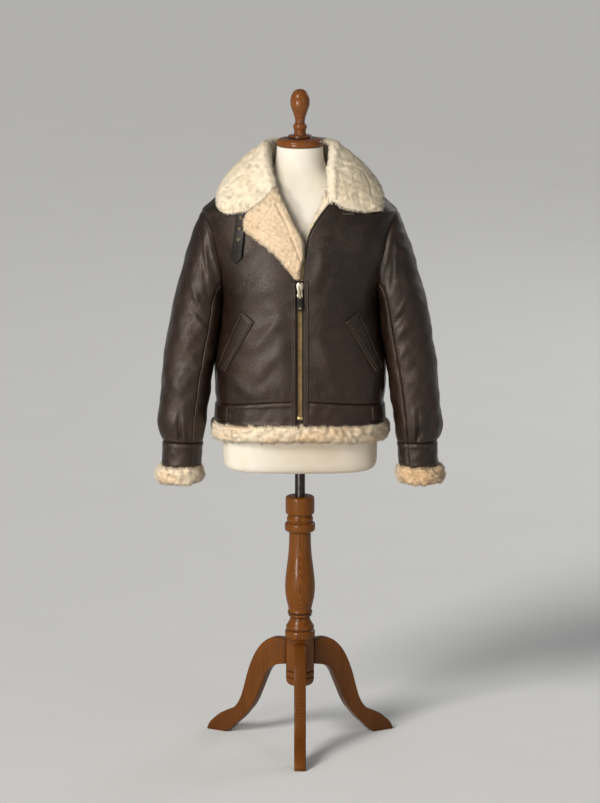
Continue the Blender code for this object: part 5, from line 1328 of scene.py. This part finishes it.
def onLathe(name, profile, material, body):
    # a profile of heights and radii, spun about the pole
    path = np.array([(radius, axisY, height) for height, radius in profile])
    drawn(path)
    bpy.ops.mesh.spin(steps=lathe["steps"], angle=2 * math.pi, center=(0, axisY, 0), axis=(0, 0, 1))
    bpy.ops.mesh.select_all(action="SELECT")
    bpy.ops.mesh.remove_doubles(threshold=lathe["merge"])
    bpy.ops.mesh.normals_make_consistent(inside=False)
    bpy.ops.object.mode_set(mode="OBJECT")
    piece = fresh(name, material, name, body, 40)
    # the stain gathers in the grooves, where the radius is under its average nearby
    ups = np.arange(path[:, 2].min(), path[:, 2].max(), lathe["sample"])
    rise = path[::-1] if path[0, 2] > path[-1, 2] else path
    radii = np.interp(ups, rise[:, 2], rise[:, 0])
    padded = np.pad(radii, lathe["window"] // 2, mode="edge")
    nearby = np.convolve(padded, np.ones(lathe["window"]) / lathe["window"], mode="valid")
    stained = np.clip((nearby - radii) / lathe["groove"], 0, 1)
    addShare(piece, "wearAndShadeShare", np.interp(pointsOf(piece)[:, 2], ups, stained))


capProfile = [
    (1.5160, 0.0000), (1.5160, 0.0280), (1.5130, 0.0290), (1.5105, 0.0310), (1.5090, 0.0460),
    (1.5060, 0.0530), (1.5020, 0.0560), (1.4960, 0.0565), (1.4920, 0.0550), (1.4900, 0.0515),
    (1.4900, 0.0000),
]
finialProfile = [
    (1.6280, 0.0000), (1.6270, 0.0070), (1.6225, 0.0145), (1.6130, 0.0205), (1.6000, 0.0234),
    (1.5900, 0.0232), (1.5750, 0.0185), (1.5600, 0.0135), (1.5480, 0.0115), (1.5425, 0.0150),
    (1.5370, 0.0172), (1.5320, 0.0155), (1.5260, 0.0142), (1.5163, 0.0155), (1.5163, 0.0000),
]
columnProfile = [
    (0.6250, 0.0320), (0.6225, 0.0350), (0.6150, 0.0357), (0.5900, 0.0357), (0.5825, 0.0345),
    (0.5800, 0.0290), (0.5770, 0.0300), (0.5685, 0.0326), (0.5605, 0.0305), (0.5590, 0.0350),
    (0.5540, 0.0375), (0.5440, 0.0375), (0.5385, 0.0345), (0.5355, 0.0268), (0.5120, 0.0270),
    (0.4930, 0.0279), (0.4690, 0.0300), (0.4420, 0.0334), (0.4130, 0.0364), (0.3950, 0.0370),
    (0.3740, 0.0354), (0.3480, 0.0300), (0.3400, 0.0282), (0.3360, 0.0304), (0.3310, 0.0304),
    (0.3275, 0.0280), (0.3245, 0.0290), (0.3215, 0.0245), (0.3160, 0.0250), (0.3050, 0.0302),
    (0.2975, 0.0345), (0.2930, 0.0348), (0.2905, 0.0332), (0.2890, 0.0332), (0.2850, 0.0370),
    (0.2700, 0.0370), (0.2680, 0.0350), (0.1880, 0.0350), (0.1855, 0.0320), (0.1830, 0.0350),
    (0.1720, 0.0350), (0.1700, 0.0325), (0.1670, 0.0350), (0.1560, 0.0335), (0.1480, 0.0230),
    (0.1480, 0.0000),
]
bore = [(0.6250, 0.0130), (0.3300, 0.0130), (0.3300, 0.0)]
onLathe("neck_cap", rounded(capProfile), redWood, "form")
onLathe("finial", rounded(finialProfile), redWood, "form")
onLathe("column", np.concatenate([rounded(columnProfile)[::-1], bore]), oakWood, "stand")

# the legs, as sawn from a board: how far out, how high
legUpper = [
    (0.0333, 0.2600), (0.0600, 0.2610), (0.0790, 0.2580), (0.1020, 0.2420), (0.1210, 0.2170),
    (0.1350, 0.1880), (0.1450, 0.1600), (0.1540, 0.1280), (0.1630, 0.0990), (0.1740, 0.0780),
    (0.1870, 0.0640), (0.2050, 0.0560), (0.2240, 0.0460), (0.2400, 0.0330), (0.2510, 0.0230),
    (0.2590, 0.0110), (0.2630, 0.0000),
]
legLower = [
    (0.2060, 0.0000), (0.1950, 0.0080), (0.1820, 0.0220), (0.1620, 0.0400), (0.1450, 0.0595),
    (0.1320, 0.0760), (0.1215, 0.0945), (0.1090, 0.1230), (0.0970, 0.1510), (0.0870, 0.1720),
    (0.0740, 0.1865), (0.0560, 0.1940), (0.0333, 0.1980),
]
leg = {"thick": 0.029, "edge": 0.0045, "dark": (0.6, 0.036, 0.004), "soiled": 0.5, "soiledTo": 0.012}
legRim = np.concatenate([rounded(legUpper), rounded(legLower)])
for name, turn in (("leg_front", 0.0), ("leg_left", third), ("leg_right", -third)):
    outline = [(-leg["thick"] / 2, -reach, height) for reach, height in legRim]
    piece = softEdges(sawn(outline, (leg["thick"], 0, 0)), leg["edge"], 4, 60)
    piece.rotation_euler = (0, 0, turn)
    piece.location = (0, axisY, 0)
    fresh(name, oakWood, name, "stand", 30)
    legPlace = pointsOf(piece) - np.array([0, axisY, 0])
    joint = ridges(np.linalg.norm(legPlace[:, :2], axis=1), [leg["dark"]])
    foot = leg["soiled"] * np.clip((leg["soiledTo"] - legPlace[:, 2]) / leg["soiledTo"], 0, 1)
    addShare(piece, "wearAndShadeShare", joint + foot)

pole = {"radius": 0.0125, "long": 0.380, "middle": 0.590, "edge": 0.0006}
letGo()
bpy.ops.mesh.primitive_cylinder_add(
    vertices=48, radius=pole["radius"], depth=pole["long"], location=(0, axisY, pole["middle"]))
editAll()
bpy.ops.mesh.bevel(offset=pole["edge"], segments=2, affect="EDGES")
bpy.ops.object.mode_set(mode="OBJECT")
fresh("pole", darkSteel, "pole", "mast")
print("stand made")

# the form: a taut cloth cover over a padded body, closed at both ends, with its panels' seams as grooves
dressForm = {
    "around": 140, "rows": 120, "seams": [0.47, 0.82, quarter, -0.47, -quarter, math.pi, 2.60, -2.60],
    "depth": 0.0007, "width": 0.0022, "below": (0.0, 0.5, 0.85), "above": (0.9, 0.5, 0.0), "merge": 0.00002,
}
heights = np.concatenate([np.linspace(0.7000, 0.7230, 14), np.linspace(0.7260, 1.4897, dressForm["rows"])])
angles = np.linspace(0, 2 * np.pi, dressForm["around"], endpoint=False)
formRings = ringPoint(formAt, angles[None], heights[:, None])
formNormals = gridNormals(formRings, True)
if np.sum(formNormals * formRings) < 0:
    formNormals = -formNormals
groove = np.zeros(formRings.shape[:2])
for where in dressForm["seams"]:
    off = (angles[None] - where + np.pi) % (2 * np.pi) - np.pi
    groove += hump(off * np.linalg.norm(formRings[..., :2], axis=-1), 0, dressForm["width"])
groove = np.clip(groove, 0, 1) * np.clip((1.25 - heights) / 0.1, 0, 1)[:, None]
formRings = formRings - formNormals * (dressForm["depth"] * groove)[..., None]
below = [formRings[0] * np.array([t, t, 1]) for t in dressForm["below"]]
above = [formRings[-1] * np.array([t, t, 1]) for t in dressForm["above"]]
rings = np.concatenate([below, formRings, above])
faces = gridFaces(len(rings), dressForm["around"], True)
form = meshPiece("form_torso", placed(rings.reshape(-1, 3)), [faces], [ivoryCloth])
hold(form)
editAll()
bpy.ops.mesh.remove_doubles(threshold=dressForm["merge"])
bpy.ops.mesh.normals_make_consistent(inside=False)
bpy.ops.object.mode_set(mode="OBJECT")
# soiled in patches, darker at the lower edge, and painted shade below the coat's hem, stronger towards the
# wearer's left, the side away from the light
formPlace = pointsOf(form)
patches = 0.20 * np.clip(waves(formPlace, 0.12, 71) - 0.6, 0, 1)
rim = 0.25 * np.clip((0.712 - formPlace[:, 2]) / 0.012, 0, 1)
shadedSide = 0.20 + 0.55 * np.clip((formPlace[:, 0] + 0.13) / 0.15, 0, 1)
addShare(form, "wearAndShadeShare", patches + rim + shadedSide * np.clip((0.86 - formPlace[:, 2]) / 0.06, 0, 1))
rideAs(form, "form", "form_torso")
print("form made")


# small metal and leather parts
def addBlock(size, place):
    letGo()
    bpy.ops.mesh.primitive_cube_add(size=1, location=placed(np.array(place)))
    bpy.context.object.scale = size
    return settled()


def addPin(radius, long, place, turn, sides=24):
    letGo()
    bpy.ops.mesh.primitive_cylinder_add(
        vertices=sides, radius=radius, depth=long, rotation=turn, location=placed(np.array(place)))
    return settled()


def addRing(radius, wire, place, turn):
    letGo()
    bpy.ops.mesh.primitive_torus_add(
        major_segments=28, minor_segments=8, major_radius=radius, minor_radius=wire, rotation=turn,
        location=placed(np.array(place)))
    return settled()


def cutAway(thing, cutter):
    addModifier(thing, "BOOLEAN", operation="DIFFERENCE", object=cutter, solver="EXACT")
    applyAll(thing)
    bpy.data.objects.remove(cutter)
    return thing


def joined(*things):
    hold(*things)
    bpy.ops.object.join()
    return bpy.context.object


def bothHalves(half, y):
    # a closed outline from the x and z of its right half
    whole = half + [(-x, z) for x, z in half[::-1]]
    return [(x, axisY + y, z) for x, z in whole]


def copiesOf(name, shape, places, sides, ups, material, smooth=False):
    # one small shape, its x along `sides` and its z along `ups`, copied to many places; it isn't kept itself
    corners = pointsOf(shape) - np.array([0, axisY, 0])
    bySize = {}
    for face in shape.data.polygons:
        bySize.setdefault(len(face.vertices), []).append(list(face.vertices))
    bpy.data.objects.remove(shape)
    places, sides, ups = np.array(places), unit(np.array(sides, float)), np.array(ups, float)
    outs = unit(np.cross(ups, sides))
    frames = np.stack([sides, outs, np.cross(sides, outs)], axis=1)
    points = places[:, None] + np.einsum("sk,nkc->nsc", corners, frames)
    starts = len(corners) * np.arange(len(places))[:, None, None]
    groups = [(starts + np.array(group)[None]).reshape(-1, size) for size, group in bySize.items()]
    return meshPiece(name, placed(points), groups, [material], smooth)


zipper = {
    "face": float(frontPoint(0.0, 1.1600)[1]) - 0.0004, "low": 0.8500, "high": 1.1470, "pitch": 0.0027,
    "tooth": (0.0066, 0.0030, 0.0016), "edge": 0.0004, "headHigh": 0.70, "headDeep": 0.75,
    "row": 0.0021, "proud": 0.0014,
    "stop": (0.0125, 0.0042, 0.0070), "stopAt": 0.8470, "stopProud": 0.0012, "stopEdge": 0.0008,
}


def makeTooth():
    # the head of a tooth is narrower than the foot that is clamped on the tape
    block = addBlock(zipper["tooth"], (0, 0, 0))
    editAll()
    bpy.ops.mesh.bevel(offset=zipper["edge"], segments=1, affect="EDGES")
    bpy.ops.object.mode_set(mode="OBJECT")
    for vertex in block.data.vertices:
        if vertex.co.x > 0.001:
            vertex.co.z *= zipper["headHigh"]
            vertex.co.y = axisY + (vertex.co.y - axisY) * zipper["headDeep"]
    return block


places, sides = [], []
for i, height in enumerate(np.arange(zipper["low"], zipper["high"], zipper["pitch"] / 2)):
    way = 1 if i % 2 else -1
    places.append(frontPoint(0.0, height) + np.array([-way * zipper["row"], zipper["proud"], 0]))
    sides.append((way, 0, 0))
ups = [(0, 0, 1)] * len(places)
teeth = copiesOf("zip_teeth", makeTooth(), places, sides, ups, agedBrass)
rideAs(teeth, "form", "zip_chain")
stopPlace = frontPoint(0.0, zipper["stopAt"]) + np.array([0, zipper["stopProud"], 0])
softEdges(addBlock(zipper["stop"], stopPlace), zipper["stopEdge"], 2, 40)
fresh("zip_stop", agedBrass, "zip_chain")
addShare(teeth, "wearAndShadeShare", 0.55)

zipTapes = {"rows": 60, "columns": 5, "thick": 0.0008, "under": 0.0, "over": -0.0030, "round": 0.002,
            "edges": (0.0030, 0.0112)}
tapeHeights = np.linspace(0.8340, 1.1850, 30)
for side, mirror in (("right", -1), ("left", 1)):
    lines = [[(x, z) for z in tapeHeights] for x in sorted(mirror * edge for edge in zipTapes["edges"])]
    piece = laidStrip(f"zip_tape_{side}", *lines, zipTapes, material=zipTape, node="zip_chain")

# the slider: a waisted plate with a bridge and a cross pin, which the pull hangs on
slider = {
    "pin": (0, -0.1021 - axisY, 1.1490), "pinRadius": 0.0012, "pinLong": 0.0088, "thick": 0.0032,
    "half": [(0.0030, 1.1812), (0.0066, 1.1800), (0.0078, 1.1760), (0.0078, 1.1690), (0.0066, 1.1640),
             (0.0054, 1.1590), (0.0056, 1.1540), (0.0068, 1.1500), (0.0070, 1.1460), (0.0052, 1.1450)],
    "notch": (0.0024, 0.02, 0.0060), "notchAt": 1.1805, "lugs": (-0.0046, 0.0030), "lugThick": 0.0016,
    "bridge": [(0.0028, 1.1740), (0.0074, 1.1715), (0.0106, 1.1650), (0.0120, 1.1560), (0.0120, 1.1480),
               (0.0100, 1.1466), (0.0090, 1.1480), (0.0090, 1.1560), (0.0072, 1.1630), (0.0028, 1.1660)],
}
outline = bothHalves(slider["half"], zipper["face"] - slider["thick"])
plate = softEdges(sawn(outline, (0, slider["thick"], 0)), 0.0007)
plate = cutAway(plate, addBlock(slider["notch"], (0, zipper["face"], slider["notchAt"])))
lugs = []
for x in slider["lugs"]:
    outline = [(x, axisY + zipper["face"] - out, z) for out, z in slider["bridge"]]
    lugs.append(softEdges(sawn(outline, (slider["lugThick"], 0, 0)), 0.0003, 1))
pin = addPin(slider["pinRadius"], slider["pinLong"], slider["pin"], (0, quarter, 0))
joined(plate, *lugs, pin)
addShare(fresh("zip_slider", paleMetal, "zip_slider"), "wearAndShadeShare", 0.0)

# the pull: a leather tab with an eye, on a metal neck round the slider's pin
pull = {
    "y": slider["pin"][1], "halfThick": 0.0013, "eye": 1.1195, "eyeHole": 0.0021, "eyeRing": (0.0024, 0.0004),
    "half": [(0.0026, 1.1445), (0.0040, 1.1425), (0.0056, 1.1330), (0.0064, 1.1220), (0.0064, 1.1165),
             (0.0052, 1.1135), (0.0026, 1.1126)],
    "neck": [(-0.0026, 1.1430), (0.0026, 1.1430), (0.0025, 1.1490), (0.0020, 1.1514), (0.0, 1.1520),
             (-0.0020, 1.1514), (-0.0025, 1.1490)],
    "neckThick": 0.0020, "neckHole": 0.0017, "through": 0.02,
}
outline = bothHalves(pull["half"], pull["y"] - pull["halfThick"])
tabPiece = softEdges(sawn(outline, (0, 2 * pull["halfThick"], 0)), 0.0007, 3)
cutAway(tabPiece, addPin(pull["eyeHole"], pull["through"], (0, pull["y"], pull["eye"]), (quarter, 0, 0), 32))
addShare(fresh("pull_leather", blackLeather, "pull_tab", "pull"), "wearAndShadeShare", 0.35)
outline = [(x, axisY + pull["y"] - pull["neckThick"] / 2, z) for x, z in pull["neck"]]
neck = softEdges(sawn(outline, (0, pull["neckThick"], 0)), 0.0003, 1)
cutAway(neck, addPin(pull["neckHole"], pull["through"], slider["pin"], (0, quarter, 0)))
addShare(fresh("pull_neck", paleMetal, "pull_tab", "pull"), "wearAndShadeShare", 0.3)
front = Vector((0, -1, 0)).to_track_quat("Z", "Y").to_euler()
addRing(*pull["eyeRing"], (0, pull["y"] - pull["halfThick"], pull["eye"]), front)
addShare(fresh("pull_eye", paleMetal, "pull_tab", "pull"), "wearAndShadeShare", 0.4)

eyelet = {"ring": (0.0025, 0.0007), "proud": 0.0002, "cup": (0.0021, 0.0012)}
rings = []
for height in strap["eyelets"]:
    row = int(np.argmin(np.abs(strapRows[:, 1] - height)))
    column = strap["columns"] // 2
    corner, beside, below = strapSkin[row, column], strapSkin[row, column - 1], strapSkin[row + 1, column]
    middle = (corner + beside) / 2
    out = unit(np.cross(corner - beside, below - corner))
    out = out if out[1] < 0 else -out
    turn = Vector(out).to_track_quat("Z", "Y").to_euler()
    ring = addRing(*eyelet["ring"], middle + out * eyelet["proud"], turn)
    ring.data.materials.append(agedBrass)
    cup = addPin(*eyelet["cup"], middle, turn, 16)
    cup.data.materials.append(blackLeather)
    rings += [ring, cup]
eyelets = joined(*rings)
eyelets.name = eyelets.data.name = "strap_eyelets"
bpy.ops.object.shade_smooth_by_angle(angle=math.radians(40))
rideAs(eyelets, "form", "throat_strap")

# the throat buckle, whose bar shows under the collar: a rounded frame of wire
buckle = {"x": 0.116, "z": 1.3475, "halfX": 0.0130, "halfZ": 0.0075, "wire": 0.0014, "trim": 0.0018,
          "corner": 0.0016, "proud": 0.0026}
buckleY = float(frontPoint(buckle["x"] - buckle["halfX"], buckle["z"] - buckle["halfZ"])[1]) - buckle["proud"]
bucklePlace = (buckle["x"], buckleY + axisY, buckle["z"])
buckleSize = (2 * buckle["halfX"] - buckle["trim"], 1, 2 * buckle["halfZ"] - buckle["trim"])
letGo()
bpy.ops.mesh.primitive_plane_add(size=1, location=bucklePlace, rotation=(quarter, 0, 0))
bpy.ops.transform.resize(value=buckleSize)
editAll()
bpy.ops.mesh.bevel(offset=buckle["corner"], segments=3, affect="VERTICES")
bpy.ops.mesh.delete(type="ONLY_FACE")
bpy.ops.object.mode_set(mode="OBJECT")
wire = bpy.context.object
addModifier(wire, "SKIN")
for corner in wire.data.skin_vertices[0].data:
    corner.radius = (buckle["wire"], buckle["wire"])
applyAll(wire)
# its metal carries painted light against the collar's shadow
addShare(fresh("throat_buckle", buckleMetalPaintedLight, "throat_buckle"), "wearAndShadeShare", 0.0)

# the open left front's half of the zip: a bound edge and its teeth, which sink into the wool higher up
edgeZip = {
    "low": 1.1860, "high": 1.3670, "teeth": 72, "sinkFrom": 1.235, "sinkOver": 0.03,
    "aside": (0.0046, 0.0036), "out": (-0.0008, -0.0034), "edges": (0.0056, 0.0004),
    "thick": 0.0022, "under": 0.0012, "over": -0.0018, "round": 0.002, "rows": 110, "columns": 8,
}
heights = np.linspace(edgeZip["low"], edgeZip["high"], 90)
edgeX = frontEdgeAt["left"](heights)
lines = [[(x - back, z) for x, z in zip(edgeX, heights)] for back in edgeZip["edges"]]
piece = laidStrip("zip_edge_tape", *lines, edgeZip, material=blackLeather, node="zip_edge_left")
steps = finer(np.stack([edgeX, heights], axis=-1)[:, None], edgeZip["teeth"])[:, 0]
places, sides, ups = [], [], []
for (x, height), (dx, dz) in zip(steps, np.gradient(steps, axis=0)):
    awayX, awayZ = unit(np.array([-dz, dx]))
    sunk = min(max((height - edgeZip["sinkFrom"]) / edgeZip["sinkOver"], 0), 1)
    aside, out = (start + (end - start) * sunk for start, end in (edgeZip["aside"], edgeZip["out"]))
    places.append(frontPoint(x + awayX * aside, height + awayZ * aside, out))
    sides.append((awayX, 0, awayZ))
    ups.append((dx, 0, dz))
teeth = copiesOf("zip_edge_teeth", makeTooth(), places, sides, ups, agedBrass)
rideAs(teeth, "form", "zip_edge_left")
# the teeth darken towards the top, where they sink into the wool: painted shade
addShare(teeth, "wearAndShadeShare", np.clip((pointsOf(teeth)[:, 2] - 1.24) / 0.05, 0.3, 1))
print("zip, pull, buckle and eyelets made")

# topstitching: one stitch, copied along every sewn edge
stitch = {"long": 0.0030, "step": 0.0043, "thick": 0.00042, "taper": 0.75, "proud": 0.00005, "least": 0.006}


def lineInside(grid, side, distance):
    # points and normals of the skin at this distance from one of its edges
    normals = gridNormals(grid)
    if side in ("start", "end"):
        grid, normals = np.swapaxes(grid, 0, 1), np.swapaxes(normals, 0, 1)
    if side in ("end", "high"):
        grid, normals = grid[::-1], normals[::-1]
    far = np.linalg.norm(np.diff(grid[:40], axis=0), axis=-1)
    far = np.concatenate([np.zeros((1, grid.shape[1])), np.cumsum(far, axis=0)])
    row = np.clip((far < distance).sum(axis=0) - 1, 0, len(far) - 2)
    column = np.arange(grid.shape[1])
    step = np.maximum(far[row + 1, column] - far[row, column], 1e-9)
    t = np.clip((distance - far[row, column]) / step, 0, 1)[:, None]
    points = grid[row, column] * (1 - t) + grid[row + 1, column] * t
    return points, unit(normals[row, column] * (1 - t) + normals[row + 1, column] * t)


def sewRows(name, jobs):
    # jobs: skins, each with the edges that are sewn, how far in, and how much is left free at both ends
    places, sides, ups = [], [], []
    for grid, edges, distances, free in jobs:
        core = np.array([0.6 * grid[..., 0].mean(), 0.05, 0])
        for edge, distance in [(edge, distance) for edge in edges for distance in distances]:
            line, normals = lineInside(grid, edge, distance)
            if np.sum(normals * (line - core) * np.array([1, 1, 0])) < 0:
                normals = -normals
            far = np.concatenate([[0], np.cumsum(np.linalg.norm(np.diff(line, axis=0), axis=-1))])
            if far[-1] < 2 * free + stitch["least"]:
                continue
            spots = np.arange(free, far[-1] - free, stitch["step"])
            place = np.stack([np.interp(spots, far, line[:, k]) for k in range(3)], axis=-1)
            ahead = np.stack([np.interp(spots + 0.001, far, line[:, k]) for k in range(3)], axis=-1)
            out = unit(np.stack([np.interp(spots, far, normals[:, k]) for k in range(3)], axis=-1))
            places.append(place + out * stitch["proud"])
            sides.append(ahead - place)
            ups.append(out)
    # a rounded bar, thinner at its two ends
    shape = addBlock((stitch["long"], 2 * stitch["thick"], 2 * stitch["thick"]), (0, 0, 0))
    editAll()
    bpy.ops.mesh.bisect(plane_co=(0, axisY, 0), plane_no=(1, 0, 0))
    bpy.ops.object.mode_set(mode="OBJECT")
    for vertex in shape.data.vertices:
        y, z = vertex.co.y - axisY, vertex.co.z
        thin = 1 - stitch["taper"] * (abs(vertex.co.x) > 0.001)
        thin = thin / max(1, math.hypot(y / stitch["thick"], z / stitch["thick"]))
        vertex.co.y = axisY + y * thin
        vertex.co.z = z * thin
    places, sides, ups = np.concatenate(places), np.concatenate(sides), np.concatenate(ups)
    rideAs(copiesOf(name, shape, places, sides, ups, brownThread, smooth=True), "form", None)
    print(f"{name}: {len(places)} stitches")


sewRows("stitches_body", sewnBody)
sewRows("stitches_sleeves", sewnSleeves)
sewRows("stitches_trims", sewnTrims)

# floor, light and camera
studio = {
    "floor": 90, "floorShift": 20, "paper": (shade(0.70, 0.70, 0.685), shade(0.73, 0.73, 0.715)),
    "sky": shade(0.93, 0.95, 0.97), "skyPower": 0.22,
    "lens": 181.1, "back": 9.68, "height": 2.778, "tilt": 78.8,
}
letGo()
bpy.ops.mesh.primitive_plane_add(size=studio["floor"], location=(0, studio["floorShift"], 0))
floor = bpy.context.object
floor.name = "studioFloor"
floorLook = Look("studioPaper", Roughness=0.9)
paper = floorLook.noise(floorLook.place(), 3.0, 2.0, 0.5)
floor.data.materials.append(floorLook.wear(Base_Color=floorLook.blend(paper, *studio["paper"])))

world = bpy.data.worlds.new("studio")
bpy.context.scene.world = world
world.use_nodes = True
sky = world.node_tree.nodes["Background"]
sky.inputs["Color"].default_value = studio["sky"]
sky.inputs["Strength"].default_value = studio["skyPower"]

lamps = {
    "keySun": {"kind": "SUN", "place": (-3.0, -4.0, 4.6), "aim": (0, 0, 1.1), "size": math.radians(20),
               "power": 2.28, "tint": (1.0, 0.97, 0.92)},
    "sideLamp": {"kind": "AREA", "place": (-2.7, -4.5, 0.9), "aim": (0, 0, 1.1), "size": 1.3, "power": 150,
                 "tint": (1.0, 0.98, 0.95)},
    "fillLamp": {"kind": "AREA", "place": (3.6, -4.8, 2.4), "aim": (0, 0, 1.0), "size": 1.6, "power": 30,
                 "tint": (0.97, 0.98, 1.0)},
    "backLamp": {"kind": "AREA", "place": (5.0, 5.4, 3.8), "aim": (0, 0, 1.0), "size": 3.0, "power": 90,
                 "tint": (0.98, 0.99, 1.0)},
}
for name, lamp in lamps.items():
    light = bpy.data.lights.new(name, lamp["kind"])
    light.energy = lamp["power"]
    light.color = lamp["tint"]
    setattr(light, "angle" if lamp["kind"] == "SUN" else "size", lamp["size"])
    thing = bpy.data.objects.new(name, light)
    thing.location = lamp["place"]
    thing.rotation_euler = (Vector(lamp["aim"]) - Vector(lamp["place"])).to_track_quat("-Z", "Y").to_euler()
    bpy.context.scene.collection.objects.link(thing)

bpy.context.scene.view_settings.view_transform = "Standard"
view = bpy.data.cameras.new("camera")
view.lens = studio["lens"]
view.sensor_width = 36
view.sensor_fit = "AUTO"
view.clip_end = 200
camera = bpy.data.objects.new("camera", view)
camera.location = (0, axisY - studio["back"], studio["height"])
camera.rotation_euler = (math.radians(studio["tilt"]), 0, 0)
bpy.context.scene.collection.objects.link(camera)
bpy.context.scene.camera = camera
print("studio set")
